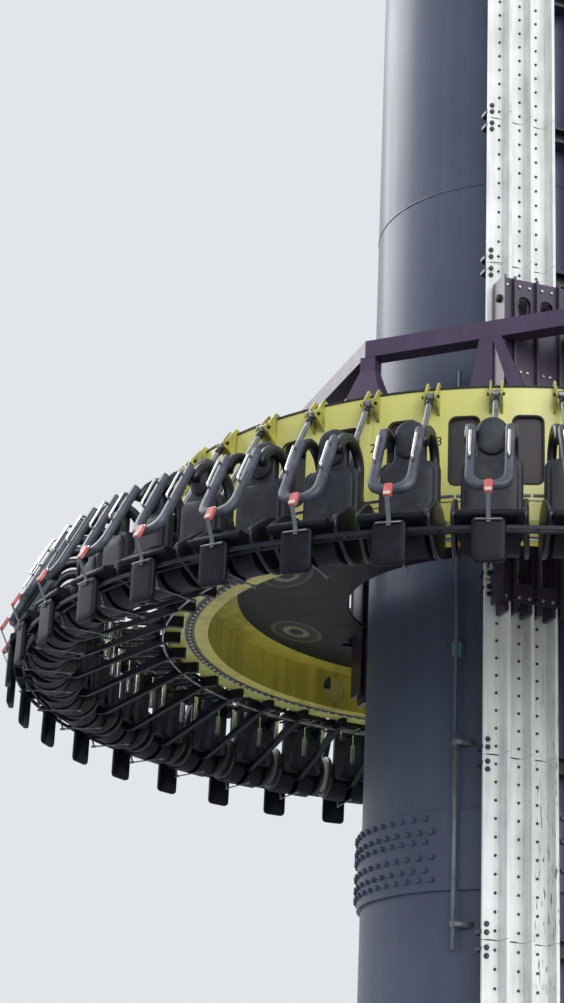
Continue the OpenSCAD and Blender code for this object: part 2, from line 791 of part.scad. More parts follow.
module roller_brackets() color("#453350") both_sides() for (z = roller_heights) {
    for (s = [-1, 1])
        translate([s * (cheek_x + housing_in - seat_gap) / 2, -axle_y, z])
            cube([housing_in - seat_gap - cheek_x, roller_d - 4, roller_d], center = true);
    translate([-cheek_x - 1, -axle_y, z]) rotate([0, 90, 0])
        cylinder(d = axle_d, h = 2 * cheek_x + 2, $fn = 32);
}

// Beams that cross above the ceiling and stand on the inner ring, with diagonals under the braces
module floor_beams() color("#3d2f4a") {
    end_r = wall_r - 2;
    long_l = 2 * sqrt(end_r * end_r - pow(floor_x + floor_beam_w / 2, 2));
    cross_l = 2 * sqrt(end_r * end_r - pow(floor_y + floor_beam_w / 2, 2));
    diagonal_r = brace_in + floor_beam_w / 2;
    diagonal_end = [diagonal_r - floor_y * sqrt(2), floor_x * sqrt(2) - diagonal_r];
    translate([0, 0, ceiling_z + floor_beam_h / 2]) {
        for (s = [-1, 1]) {
            translate([s * floor_x, 0, 0]) cube([floor_beam_w, long_l, floor_beam_h], center = true);
            translate([0, s * floor_y, 0]) cube([cross_l, floor_beam_w, floor_beam_h], center = true);
        }
        both_sides() left_and_right() rotate([0, 0, 45])
            translate([diagonal_end[0], -brace_in - floor_beam_w, -floor_beam_h / 2])
                cube([diagonal_end[1] - diagonal_end[0], floor_beam_w, floor_beam_h]);
    }
}

module ceiling_panels() color("#4b3a5c") {
    slot_x = rail_in + rail_w + well_side_gap;
    slot_y = housing_front + rib_h + panel_gap;
    difference() {
        translate([0, 0, ceiling_z - drum_t]) cylinder(r = wall_r - inner_top_w - panel_gap, h = drum_t);
        translate([0, 0, ceiling_z - drum_t - past]) cylinder(r = well_r, h = drum_t + 2 * past);
        translate([-slot_x, -slot_y, ceiling_z - drum_t - past])
            cube([2 * slot_x, 2 * slot_y, drum_t + 2 * past]);
        for (a = [0, 90])
            rotate([0, 0, a + 45]) translate([-drum_r, -panel_gap / 2, ceiling_z - drum_t - past])
                cube([drum_d, panel_gap, drum_t + 2 * past]);
    }
}

module inner_ring() color("#c3bd3a") difference() {
    segments(inner_n, flange_r, panel_gap) polygon([
        [wall_r - drum_t, ring_bottom_z], [flange_r, ring_bottom_z],
        [flange_r, ring_bottom_z + drum_t], [wall_r, ring_bottom_z + drum_t],
        [wall_r, ceiling_z], [wall_r - inner_top_w, ceiling_z],
        [wall_r - inner_top_w, ceiling_z - drum_t], [wall_r - drum_t, ceiling_z - drum_t]
    ]);
    for (k = [0:inner_hole_n - 1]) rotate([0, 0, inner_hole_a + k * 360 / inner_hole_n])
        translate([0, 0, (ring_bottom_z + ceiling_z) / 2]) rotate([90, 0, 0])
            translate([0, 0, wall_r - inner_top_w])
                cylinder(d = inner_hole_d, h = inner_top_w + 2 * past, $fn = 48);
}

module slewing_ring() color("#3a3e48") segments(inner_n, bearing_r, panel_gap)
    translate([flange_r, ring_bottom_z]) square([bearing_w, bearing_h]);

// Turning ring: the drum and everything that the seats hang on

module drum_segments() color("#c9c857") difference() {
    segments(segment_n, drum_r, drum_seam) polygon([
        [drum_in_r, ring_bottom_z], [drum_r - drum_chamfer, ring_bottom_z],
        [drum_r, ring_bottom_z + drum_chamfer], [drum_r, ring_top_z],
        [drum_in_r, ring_top_z], [drum_in_r, ring_top_z - drum_t],
        [drum_r - drum_t, ring_top_z - drum_t], [drum_r - drum_t, ring_bottom_z + drum_chamfer + 1],
        [drum_r - drum_chamfer - 1, ring_bottom_z + drum_t], [drum_in_r, ring_bottom_z + drum_t]
    ]);
    for (k = [0:seat_n - 1]) rotate([0, 0, (k + 0.5) * seat_a])
        translate([0, 0, ring_bottom_z + window_sill + window_h / 2])
            front_slab(drum_r - 2 * drum_t, 3 * drum_t) round_box(window_w, window_h, window_r);
}

module window_panes() color("#2c2f38") {
    pane_a = (window_w + 6) / drum_r * 180 / PI;
    for (k = [0:seat_n - 1]) rotate([0, 0, (k + 0.5) * seat_a - 90 - pane_a / 2])
        rotate_extrude(angle = pane_a)
            translate([drum_r - drum_t - seat_gap - pane_t, ring_bottom_z + window_sill - 3])
                square([pane_t, window_h + 6]);
}

// Outline of a rim bracket's plate: it hooks over the drum's rim and holds the pin
module hook_outline() {
    polygon([
        [drum_r - 2 * drum_t, ring_top_z + seat_gap], [drum_r + 0.3, ring_top_z + seat_gap],
        [drum_r + 0.3, pin_h - hook_drop], [pin_r, pin_h - boss_r], [pin_r, pin_h + boss_r],
        [drum_r + hook_t, ring_top_z + ear_h], [drum_r - 2 * drum_t, ring_top_z + ear_h / 2]
    ]);
    translate([pin_r, pin_h]) circle(boss_r, $fn = 32);
}

module rim_brackets() color("#c9c857") each_seat() for (s = [-1, 1]) difference() {
    radial_slab(hook_t, s * (hook_gap + hook_t) / 2) hook_outline();
    translate([-hook_gap * 2, -pin_r, pin_h]) rotate([0, 90, 0])
        cylinder(d = pin_d + 2 * pin_gap, h = hook_gap * 4, $fn = 24);
}

module bracket_pins() color("#26282e") each_seat()
    translate([-(hook_gap / 2 + hook_t + 2), -pin_r, pin_h]) rotate([0, 90, 0])
        cylinder(d = pin_d, h = hook_gap + 2 * hook_t + 4, $fn = 24);

module seat_struts() color("#8b9098") each_seat() {
    low = [0, -eye_r, pan_z + strut_z];
    high = [0, -pin_r, pin_h];
    d = high - low;
    difference() {
        union() {
            translate(low) rotate([-acos(d[2] / norm(d)), 0, 0])
                cylinder(d = strut_d, h = norm(d), $fn = 24);
            for (p = [low, high]) translate(p) rotate([0, 90, 0])
                cylinder(d = eye_d, h = hook_gap - 2, center = true, $fn = 32);
        }
        for (p = [low, high]) translate(p) rotate([0, 90, 0])
            cylinder(d = pin_d + 2 * pin_gap, h = hook_gap + 2, center = true, $fn = 24);
    }
}

// Sloping arm from the drum's underside, and its bolted foot below the pan
module seat_arms() color("#5d616b") each_seat() radial_slab(arm_x) {
    root_r = drum_r - drum_chamfer - 1;
    joint_r = back_rear + 4;
    polygon([
        [root_r - arm_foot_l, ring_bottom_z - seat_gap], [root_r, ring_bottom_z - seat_gap],
        [back_rear - 3, pan_low_z], [joint_r, pan_low_z], [joint_r, ladder_top],
        [root_r, ring_bottom_z - arm_root_h], [root_r - arm_foot_l, ring_bottom_z - arm_root_h]
    ]);
    translate([joint_r + seat_gap, ladder_top]) square([ladder_r - joint_r - seat_gap, arm_tip_h]);
}

module ladder_ring() color("#5d616b") difference() {
    gap_a = segment_a / rung_gaps;
    mid_r = ladder_r - ladder_w / 2;
    window_l = mid_r * gap_a * PI / 180 - rung_w;
    segments(segment_n, ladder_r, drum_seam)
        translate([ladder_r - ladder_w, ladder_top - ladder_h - seat_gap]) square([ladder_w, ladder_h]);
    for (k = [0:segment_n * rung_gaps - 1]) rotate([0, 0, (k + 0.5) * gap_a])
        translate([0, -mid_r, ladder_top - ladder_h / 2])
            cube([window_l, ladder_w - 2 * ladder_rail, 2 * ladder_h], center = true);
}

// Seats, as seen by someone who stands in front of them

module seat_backs() color("#3c3f4b") each_seat() front_slab(back_rear, back_t) {
    body_h = pan_t + shoulder_h;
    head_z = pan_z + back_h - head_x;
    translate([0, pan_low_z + body_h / 2]) round_box(2 * back_x, body_h, back_corner);
    translate([-head_x, pan_z]) square([2 * head_x, head_z - pan_z]);
    translate([0, head_z]) circle(head_x, $fn = 48);
}

// Scooped pan with a round front edge and two round lobes below it
module seat_pans() color("#3c3f4b") each_seat() {
    low_z = pan_low_z + seat_gap;
    nose_r = (pan_z - low_z) / 2;
    radial_slab(2 * pan_x) {
        polygon([
            [seat_r + seat_gap, low_z], [pan_front - nose_r, low_z], [pan_front - nose_r, pan_z],
            [seat_r + pan_l * 0.6, pan_z - scoop_h], [seat_r + pan_l * 0.3, pan_z - scoop_h],
            [seat_r + seat_gap, pan_z]
        ]);
        translate([pan_front - nose_r, pan_z - nose_r]) circle(nose_r, $fn = 24);
    }
    left_and_right() radial_slab(lobe_x - arm_x / 2 - seat_gap, (lobe_x + arm_x / 2 + seat_gap) / 2)
        intersection() {
            translate([seat_r + seat_gap + lobe_r, low_z]) circle(lobe_r, $fn = 48);
            translate([seat_r, low_z - lobe_r]) square([2 * lobe_r + past, lobe_r + pan_t / 2]);
        }
}

module seat_bolsters() color("#1f2128") each_seat() left_and_right()
    radial_slab(bolster_t, pan_x + bolster_t / 2 + seat_gap) {
        nose_r = bolster_nose_h / 2;
        translate([back_rear + bolster_r, pan_z]) circle(bolster_r);
        translate([back_rear + bolster_r, pan_z - nose_r])
            square([seat_r + bolster_l - nose_r - back_rear - bolster_r, bolster_nose_h]);
        translate([seat_r + bolster_l - nose_r, pan_z]) circle(nose_r, $fn = 32);
    }

module calf_rests() color("#3c3f4b") each_seat() front_slab(pan_front - calf_t, calf_t)
    translate([0, pan_low_z - calf_h / 2]) round_box(2 * calf_x, calf_h, calf_corner);

// Frame of the restraint: its foot is the origin, its back is the plane y = 0, and it leans back
module on_restraint()
    each_seat() translate([0, -bib_r, pan_z + bib_z]) rotate([-bib_tilt, 0, 0]) children();

module restraint_bibs() color("#6d7079") on_restraint() rotate([90, 0, 0]) linear_extrude(bib_t)
    difference() {
        left_and_right() {
            translate([bib_x - bib_corner, bib_corner]) circle(bib_corner);
            square([bib_x - bib_corner, bib_corner]);
            translate([0, bib_corner]) square([bib_x, bib_l - horn_w / 2 - bib_corner]);
            translate([bib_x - horn_w / 2, bib_l - horn_w / 2]) circle(horn_w / 2, $fn = 32);
        }
        translate([0, bib_foot + bib_arc]) circle(bib_arc);
        translate([-bib_arc, bib_foot + bib_arc]) square([2 * bib_arc, bib_l]);
    }

// Arm that bends back over the shoulder and ends in a pivot behind the seat
module shoulder_arms() color("#2b2d35") each_seat() left_and_right()
    radial_slab(arm_w, bib_x + arm_side - arm_w / 2) {
        bend_z = pan_z + arm_z;
        difference() {
            translate([seat_r, bend_z]) circle(arm_r);
            translate([seat_r, bend_z]) circle(arm_r - arm_t);
            translate([seat_r - 2 * arm_r, bend_z - 2 * arm_r]) square([4 * arm_r, 2 * arm_r]);
            translate([bib_r - seat_gap, pan_z + bib_z]) rotate(bib_tilt) square([arm_r, 2 * bib_l]);
        }
        translate([seat_r - arm_r, pan_z + pivot_z]) square([arm_t, arm_z - pivot_z]);
        translate([pivot_at, pan_z + pivot_z]) circle(pivot_r, $fn = 48);
        translate([pivot_at, pan_z + pivot_z - pivot_r / 2]) square([pivot_r, pivot_r]);
    }

module grab_handles() color("#c8cacc") on_restraint() left_and_right()
    translate([bib_x - (horn_w + handle_d) / 2, 0, bib_l - handle_drop - handle_l]) rotate([90, 0, 90])
        linear_extrude(handle_d) difference() {
            translate([-bib_t - handle_off - handle_d, 0])
                square([handle_off + handle_d - seat_gap, handle_l]);
            translate([-bib_t - handle_off, handle_d])
                square([handle_off + past, handle_l - 2 * handle_d]);
        }

module belt_buckles() color("#c9707a") on_restraint()
    translate([0, -bib_t - seat_gap, buckle_h / 2 - buckle_low]) rotate([90, 0, 0])
        linear_extrude(buckle_t) round_box(buckle_w, buckle_h, 2);

module belt_straps() color("#55585f") each_seat() {
    out = bib_t + seat_gap + buckle_t / 2;
    top_r = bib_r + buckle_low * sin(bib_tilt) + out * cos(bib_tilt);
    top_z = pan_z + bib_z - buckle_low * cos(bib_tilt) + out * sin(bib_tilt) - 3 * seat_gap;
    foot_r = pan_front + seat_gap;
    foot_z = pan_low_z - pan_t;
    radial_slab(strap_w) polygon([
        [foot_r, foot_z], [foot_r + strap_t, foot_z], [foot_r + strap_t, foot_z + pan_t],
        [top_r + strap_t / 2, top_z], [top_r - strap_t / 2, top_z], [foot_r, foot_z + pan_t]
    ]);
}

module tie_rods() color("#b9bcc0") each_seat() {
    l = 2 * tie_r * tan(seat_a / 2) - 2;
    translate([-l / 2, -tie_r, ring_bottom_z + tie_z]) rotate([0, 90, 0])
        cylinder(d = tie_d, h = l, $fn = 16);
}

module back_spokes() color("#1b1c22") each_seat() left_and_right()
    translate([spoke_x, -drum_r - 0.3, spoke_z]) rotate([90, 0, 0])
        cylinder(d = spoke_d, h = back_rear - drum_r - 0.3 - seat_gap, $fn = 16);

// Behind each seat, a lock cylinder at its left and a gas spring at its right
module lock_cylinders() color("#b9bcc0") each_seat() {
    top_z = spoke_z - spoke_d / 2 - seat_gap;
    translate([-spoke_x, -tie_r, top_z - lock_l]) cylinder(d = lock_d, h = lock_l, $fn = 24);
    translate([spoke_x, -tie_r, top_z - rod_l - 1]) cylinder(d = rod_d, h = rod_l + 1, $fn = 16);
    translate([spoke_x, -tie_r, top_z - rod_l - spring_l]) cylinder(d = spring_d, h = spring_l, $fn = 24);
}

base_flange();
tube_sections();
splice_collars();
brake_columns_front();
brake_columns_back();
plain_rail_plates();
rail_brackets();
guide_rails();
conduit_pipe();
junction_box();
head_deck();
head_railing();
sheave_housings();
head_cap();
top_frame();
frame_posts();
frame_braces();
magnet_housing_front();
magnet_housing_back();
guide_rollers();
roller_brackets();
floor_beams();
ceiling_panels();
inner_ring();
slewing_ring();
drum_segments();
window_panes();
rim_brackets();
bracket_pins();
seat_struts();
seat_arms();
ladder_ring();
seat_backs();
seat_pans();
seat_bolsters();
calf_rests();
restraint_bibs();
shoulder_arms();
grab_handles();
belt_buckles();
belt_straps();
tie_rods();
back_spokes();
lock_cylinders();
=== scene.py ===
# %% [markdown]
# # Dressing a drop tower ride, a 1:10 scale model
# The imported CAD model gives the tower, the lifting carriage and the turning ring in their
# places. This script adds what a CAD solid leaves out: paint, steel, moulded plastic, padding,
# bolts, clamps and painted numbers. It reads like a notebook, one piece or finish a cell.

# %% Load the frame
import json
import math

import bpy
import numpy as np
from mathutils import Matrix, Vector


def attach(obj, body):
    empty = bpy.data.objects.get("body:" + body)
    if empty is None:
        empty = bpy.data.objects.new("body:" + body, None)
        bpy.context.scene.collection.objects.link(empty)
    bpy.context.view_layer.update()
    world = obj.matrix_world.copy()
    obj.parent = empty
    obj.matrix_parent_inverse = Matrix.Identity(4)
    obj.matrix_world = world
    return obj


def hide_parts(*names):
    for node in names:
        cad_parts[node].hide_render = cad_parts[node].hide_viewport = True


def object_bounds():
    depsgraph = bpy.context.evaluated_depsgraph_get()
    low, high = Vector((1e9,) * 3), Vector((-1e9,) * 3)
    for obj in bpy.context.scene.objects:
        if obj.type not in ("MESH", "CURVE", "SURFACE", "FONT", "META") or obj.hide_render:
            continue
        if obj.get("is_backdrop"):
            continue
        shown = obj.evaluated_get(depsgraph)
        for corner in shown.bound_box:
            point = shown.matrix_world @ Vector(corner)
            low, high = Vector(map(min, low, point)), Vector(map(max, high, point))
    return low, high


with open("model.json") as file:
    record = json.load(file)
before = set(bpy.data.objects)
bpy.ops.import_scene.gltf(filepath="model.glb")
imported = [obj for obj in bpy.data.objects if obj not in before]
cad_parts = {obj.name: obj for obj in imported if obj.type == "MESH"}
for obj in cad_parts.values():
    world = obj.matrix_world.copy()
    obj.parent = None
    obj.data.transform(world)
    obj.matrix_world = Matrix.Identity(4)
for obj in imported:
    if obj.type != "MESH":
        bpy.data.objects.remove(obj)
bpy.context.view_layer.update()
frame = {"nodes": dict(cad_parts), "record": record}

# %% [markdown]
# ## Units and one way to make a mesh
# The ride is thought out in millimetres, as its drawing is, and Blender works in metres. Every
# new piece is a set of numpy arrays of points and faces, so one helper turns them into a mesh.
# Its object stays at the origin, because a pattern that reads Object coordinates then sits still.

# %% Mesh helper
MM = 0.001


def make_piece(name, parts, material, body, smooth=False):
    """Join (points in mm, faces) pairs into one mesh that rides on a body.

    points is an array, n by 3; faces is an array, m by 3 or 4, or a list of such arrays.
    """
    points, faces, start = [], [], 0
    for p, blocks in parts:
        points.append(np.asarray(p, float).reshape(-1, 3))
        for block in blocks if isinstance(blocks, list) else [blocks]:
            faces += (np.asarray(block) + start).tolist()
        start += len(points[-1])
    mesh = bpy.data.meshes.new(name)
    mesh.from_pydata((np.concatenate(points) * MM).tolist(), [], faces)
    mesh.polygons.foreach_set("use_smooth", np.full(len(mesh.polygons), smooth))
    mesh.materials.append(material)
    mesh.update()
    piece = bpy.data.objects.new(name, mesh)
    bpy.context.scene.collection.objects.link(piece)
    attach(piece, body)
    print(f"{name}: {len(mesh.polygons)} faces on {body}")
    return piece


# %% [markdown]
# ## Camera
# The photograph was taken from the ground, close to the tower and looking up, so the camera sits
# low and is tipped back. The lens comes from a fit of the drum's ellipses: a focal length of
# 2056 pixels in a picture 1003 pixels tall.

# %% Camera
PHOTO_H, FOCAL_PX, SENSOR = 1003, 2056, 36.0
CAMERA_AT = (-869.8, -1852.6, 159.6)
HEADING, PITCH, ROLL = (math.radians(a) for a in (18.39, 21.06, 2.61))

camera = bpy.data.objects.new("camera", bpy.data.cameras.new("camera"))
bpy.context.scene.collection.objects.link(camera)
camera.data.sensor_width = SENSOR
camera.data.lens = FOCAL_PX / PHOTO_H * SENSOR
camera.data.clip_end = 500
camera.matrix_world = (
    Matrix.Translation([c * MM for c in CAMERA_AT])
    @ Matrix.Rotation(-HEADING, 4, "Z")
    @ Matrix.Rotation(math.pi / 2 + PITCH, 4, "X")
    @ Matrix.Rotation(ROLL, 4, "Z")
)
bpy.context.scene.camera = camera
bpy.context.scene.view_settings.view_transform = "Standard"
print("lens in mm:", round(camera.data.lens, 1))

# %% [markdown]
# ## Colours and material nodes
# Paint charts and photographs give colours as sRGB hex values, and Blender's shaders want linear
# light, so one function converts them. Another adds a shader node with its settings and links in
# one line, which keeps each recipe below short enough to read. Every pattern starts from a real
# size, so a texture is laid on a piece's Object coordinates in millimetres.

# %% Colour and node helpers
BY_COLOUR = {"data_type": "RGBA"}


def linear(hex_colour):
    """An sRGB hex colour as linear RGBA: the lowest values fall on a line, the rest on a power curve."""
    v = np.array([int(hex_colour[i : i + 2], 16) for i in (1, 3, 5)]) / 255
    return (*np.where(v <= 0.04045, v / 12.92, ((v + 0.055) / 1.055) ** 2.4), 1.0)


def wire(node, **inputs):
    """Set a node's sockets: a value stays on the socket, and another node's output is linked to it.

    A socket is called by its name. in_0 is the first by number, which Math and Mix nodes need.
    """
    for key, value in inputs.items():
        socket = node.inputs[int(key[3:]) if key.startswith("in_") else key.replace("_", " ")]
        if isinstance(value, bpy.types.NodeSocket):
            node.id_data.links.new(value, socket)
        else:
            socket.default_value = value


def add(tree, kind, settings=None, **inputs):
    """Add a shader node with its own settings, and give its sockets their values or links."""
    node = tree.nodes.new("ShaderNode" + kind)
    for key, value in (settings or {}).items():
        setattr(node, key, value)
    wire(node, **inputs)
    return node


def laid_on(tree, pattern, size_mm, stretch_z=1, settings=None, **inputs):
    """Lay a texture on the piece, its features about size_mm across and stretch_z times as long in Z."""
    where = add(tree, "TexCoord").outputs["Object"]
    place = add(tree, "Mapping", Vector=where, Scale=(1, 1, 1 / stretch_z)).outputs[0]
    return add(tree, pattern, settings, Vector=place, Scale=1 / (size_mm * MM), **inputs)


def new_material(name, **constants):
    """A Principled material, with the values that are the same all over set on its own sockets."""
    material = bpy.data.materials.new(name)
    material.use_nodes = True
    shader = material.node_tree.nodes["Principled BSDF"]
    wire(shader, **constants)
    return material, material.node_tree, shader


def mottle(tree, shader, field, ends, colours, roughness):
    """Let one field of values set a surface's colour and gloss.

    Between the field's two ends the colour runs from the first to the second, and as the field runs
    from 0 to 1 the roughness runs from its lowest to its highest.
    """
    share = add(tree, "MapRange", Value=field, From_Min=ends[0], From_Max=ends[1]).outputs[0]
    first, second = map(linear, colours)
    colour = add(tree, "Mix", BY_COLOUR, Factor=share, in_6=first, in_7=second).outputs[2]
    gloss = add(tree, "MapRange", Value=field, To_Min=roughness[0], To_Max=roughness[1]).outputs[0]
    wire(shader, Base_Color=colour, Roughness=gloss)


# %% [markdown]
# ## Painted steel
# Nearly the whole ride is rolled or welded steel under sprayed two-pack paint. Such a film is
# glossy when new, and weather dulls it in patches. It has a fine orange-peel ripple, rain draws
# pale streaks of chalk and dirt down it, and it wears on what rubs. One recipe takes the colour,
# the amount of dirt and the gloss, because the paints differ in nothing else.

# %% Paint recipe
PEEL_MM, PEEL_DEPTH_MM = 1.6, 0.05


def painted_steel(name, clean, dirty, roughness=0.38, streak_mm=14, dirt=0.5, coat=0.12,
                  coat_roughness=0.16, specular=0.5):
    """Sprayed paint on steel: base colour, rain streaks that run down Z, and an orange-peel ripple.

    Where a streak crosses a broad patch, their product is high, and there the paint is dirty and dull.
    """
    material, tree, shader = new_material(name, IOR=1.5, Coat_Weight=coat, Coat_Roughness=coat_roughness,
                                         Specular_IOR_Level=specular)
    streaks = laid_on(tree, "TexNoise", streak_mm, 14, Detail=6).outputs["Fac"]
    patches = laid_on(tree, "TexNoise", streak_mm * 6, Detail=5).outputs["Fac"]
    worn = add(tree, "Math", {"operation": "MULTIPLY"}, in_0=streaks, in_1=patches).outputs[0]
    soiled = add(tree, "MapRange", Value=worn, From_Min=0.18, From_Max=0.42, To_Max=dirt).outputs[0]
    colour = add(tree, "Mix", BY_COLOUR, Factor=soiled, in_6=linear(clean), in_7=linear(dirty)).outputs[2]
    gloss = add(tree, "MapRange", Value=worn, To_Min=roughness - 0.08, To_Max=roughness + 0.22).outputs[0]
    peel = laid_on(tree, "TexNoise", PEEL_MM, Detail=4).outputs["Fac"]
    ripple = add(tree, "Bump", Height=peel, Distance=PEEL_DEPTH_MM * MM, Strength=0.25).outputs[0]
    wire(shader, Base_Color=colour, Roughness=gloss, Normal=ripple)
    return material


paint = {
    # The tube's two-pack paint is the glossiest large surface: its left edge mirrors the sky.
    "tube_paint": painted_steel("tube_two_pack_paint", "#414a62", "#535d76", 0.5, streak_mm=18, coat=0.2,
                                coat_roughness=0.2),
    "bracket_paint": painted_steel("bracket_night_blue_paint", "#1e2334", "#353b4b", 0.42),
    "box_paint": painted_steel("box_teal_paint", "#4a8580", "#6b9894", 0.4),
    "frame_paint": painted_steel("frame_purple_paint", "#42324f", "#524460", 0.4, dirt=0.45),
    "housing_paint": painted_steel("housing_dark_purple_paint", "#33283f", "#4b4055", 0.42),
    # The drum is washed often, so its yellow is clean and shiny.
    "yellow_paint": painted_steel("drum_yellow_paint", "#d8d67a", "#c2be70", 0.28, streak_mm=10, dirt=0.4),
    "bearing_steel": painted_steel("bearing_olive_primer", "#4a472f", "#2f2d22", 0.42, dirt=0.7),
    # Dust and grease take the shine off the black steel below the seats.
    # The arms are black steel, and the blue in their black is painted shade: the bluish shade under the ring.
    "arm_paint": painted_steel("arm_black_paint", "#0a0d18", "#1c2030", 0.46, coat=0.05, specular=0.25),
    "black_steel": painted_steel("pin_black_paint", "#0d0f16", "#1e2129", 0.4, coat=0.05, specular=0.3),
}
ring_yellow = painted_steel("ring_worn_yellow_paint", "#dccf52", "#76692f", 0.36, streak_mm=16, dirt=0.7)
hook_yellow = painted_steel("hook_oiled_yellow_paint", "#b9b552", "#4f4d36", 0.4, streak_mm=4, dirt=0.9)
print(len(paint) + 2, "paints")

# %% [markdown]
# The rail plates are the same paint, chalked white. Low down, the brake fins' magnets have pulled
# grit past them, and dark scratches run up the plates beside the inner bolt row. They are a noise
# stretched along Z that only counts below 0.78 m and near the tower's middle.

# %% Scratched rail paint
rail_paint = painted_steel("rail_chalked_white_paint", "#f4f6f3", "#b9bbb6", 0.5, streak_mm=7, dirt=0.6)
tree, shader = rail_paint.node_tree, rail_paint.node_tree.nodes["Principled BSDF"]
chalk = shader.inputs["Base Color"].links[0].from_socket
axes = add(tree, "SeparateXYZ", Vector=add(tree, "TexCoord").outputs["Object"]).outputs
across = add(tree, "Math", {"operation": "ABSOLUTE"}, in_0=axes["X"]).outputs[0]
FADE = {"To_Min": 1.0, "To_Max": 0.0}
near = add(tree, "MapRange", Value=across, From_Min=50 * MM, From_Max=66 * MM, **FADE).outputs[0]
low = add(tree, "MapRange", Value=axes["Z"], From_Min=0.52, From_Max=0.78, **FADE).outputs[0]
here = add(tree, "Math", {"operation": "MULTIPLY"}, in_0=near, in_1=low).outputs[0]
lines = laid_on(tree, "TexNoise", 2.2, 9, Detail=3).outputs["Fac"]
marks = add(tree, "MapRange", Value=lines, From_Min=0.6, From_Max=0.66).outputs[0]
amount = add(tree, "Math", {"operation": "MULTIPLY"}, in_0=marks, in_1=here).outputs[0]
scratched = add(tree, "Mix", BY_COLOUR, Factor=amount, in_6=chalk, in_7=linear("#3c3d3d")).outputs[2]
wire(shader, Base_Color=scratched)
paint["rail_paint"] = rail_paint
print("scratches below 0.78 m")

# %% [markdown]
# ## Bare and coated metal
# The railing is hot-dip galvanised: zinc freezes on it in flakes called spangle, which a Voronoi
# pattern draws well. The other metals have marks that run along the bar or round the bolt, and a
# noise as long as those marks gives both their tone and their gloss.

# %% Metals
galvanised, tree, shader = new_material("hot_dip_galvanised_steel", Metallic=0.85)
flakes = laid_on(tree, "TexVoronoi", 3.5).outputs["Color"]
tone = add(tree, "SeparateColor", Color=flakes).outputs[0]
mottle(tree, shader, tone, (0, 1), ("#8d9298", "#c3c8cc"), (0.34, 0.55))
dimples = laid_on(tree, "TexNoise", 2.0, Detail=4).outputs["Fac"]
wire(shader, Normal=add(tree, "Bump", Height=dimples, Distance=0.03 * MM, Strength=0.2).outputs[0])


def worked_metal(name, metallic, mark_mm, stretch_z, colours, roughness, detail=4, depth_mm=0.0):
    """Metal with marks mark_mm wide, drawn out along Z: one noise sets their tone, gloss and depth."""
    material, tree, shader = new_material(name, Metallic=metallic)
    marks = laid_on(tree, "TexNoise", mark_mm, stretch_z, Detail=detail).outputs["Fac"]
    mottle(tree, shader, marks, (0.3, 0.7), colours, roughness)
    if depth_mm:
        wire(shader, Normal=add(tree, "Bump", Height=marks, Distance=depth_mm * MM, Strength=0.2).outputs[0])
    return material


# Rolled steel under a film of oil and dust is dark and streaked along its length.
guide_steel = worked_metal("oiled_rolled_steel", 0.7, 9, 20, ("#23262f", "#4a4d55"), (0.28, 0.5), 6, 0.04)
# Polished bar mirrors the sky in a thin bright line.
handle_steel = worked_metal("polished_stainless_steel", 1.0, 0.8, 12, ("#c9cbcd", "#e2e3e4"), (0.14, 0.3))
# Zinc plate on a bolt is pale and soon dull.
zinc_bolt = worked_metal("zinc_plated_bolt_steel", 0.8, 3, 1, ("#a9abaa", "#d4d5d3"), (0.3, 0.5))
# Blackened bolts only shine at their edges.
dark_bolt = worked_metal("blackened_bolt_steel", 0.5, 3, 1, ("#2a2d35", "#4b4e56"), (0.35, 0.55))
# The struts are drawn tube with a satin finish.
strut_steel = worked_metal("strut_satin_steel", 0.6, 4, 5, ("#63656a", "#8b8d90"), (0.3, 0.45))
# The old conduit's zinc has gone dull and blue-grey.
conduit_zinc = worked_metal("conduit_dull_zinc", 0.4, 6, 4, ("#6e747f", "#8d939b"), (0.45, 0.6))
print("seven metals")

# %% [markdown]
# ## Moulded plastics, foam and webbing
# The seat shells are moulded in a spark-eroded tool, which leaves an even leather-like grain. The
# restraint's padding is foam moulded with its own skin, duller and softer to look at. The belt is
# woven webbing: its threads cross about every 0.3 mm at this scale, too fine for the picture, so
# they are drawn 1 mm apart. The windows are smoked acrylic, dark and a little dusty.

# %% Plastics and webbing
RIB_MM = 1.0


def moulded(name, clean, scuffed, roughness, grain_mm=0.9, grain_depth=0.12, coat=0.0, specular=0.5):
    """Moulded plastic or foam skin: a cell grain, and scuffs that are paler and duller."""
    material, tree, shader = new_material(name, IOR=1.46, Coat_Weight=coat, Coat_Roughness=0.12,
                                         Specular_IOR_Level=specular)
    scuffs = laid_on(tree, "TexNoise", 11, Detail=8).outputs["Fac"]
    mottle(tree, shader, scuffs, (0.5, 0.72), (clean, scuffed), (roughness - 0.07, roughness + 0.12))
    cells = laid_on(tree, "TexVoronoi", grain_mm).outputs["Distance"]
    wire(shader, Normal=add(tree, "Bump", Height=cells, Distance=grain_depth * MM, Strength=0.35).outputs[0])
    return material


plastic = {
    "seat_shell": moulded("seat_charcoal_moulding", "#22252f", "#383c46", 0.5),
    # The bolsters are moulded smooth and catch a hard highlight.
    "bolster_skin": moulded("bolster_gloss_black_moulding", "#101218", "#20232a", 0.32, grain_depth=0.02,
                            coat=0.15),
    "restraint_skin": moulded("restraint_grey_foam_skin", "#474a56", "#62656f", 0.42, grain_mm=0.7,
                              grain_depth=0.06, coat=0.1),
    # The pans are black, and the blue in their black is painted shade: the bluish shade under the ring.
    "pan_black": moulded("pan_black_moulding", "#090b13", "#171a26", 0.46, specular=0.25),
    "tab_cream": moulded("buckle_cream_plastic", "#d4cdbb", "#bdb6a6", 0.4),
    "roller_tyre": moulded("roller_polyurethane", "#2a2a2e", "#47474b", 0.55),
    # Sun has faded the buckles' red.
    "buckle_red": moulded("buckle_faded_red_plastic", "#c8605f", "#d88f8a", 0.4),
    "rubber": moulded("window_rubber_seal", "#1a1b1f", "#2c2d31", 0.6),
}

webbing, tree, shader = new_material("belt_woven_webbing", IOR=1.5, Sheen_Weight=0.3, Sheen_Roughness=0.5)
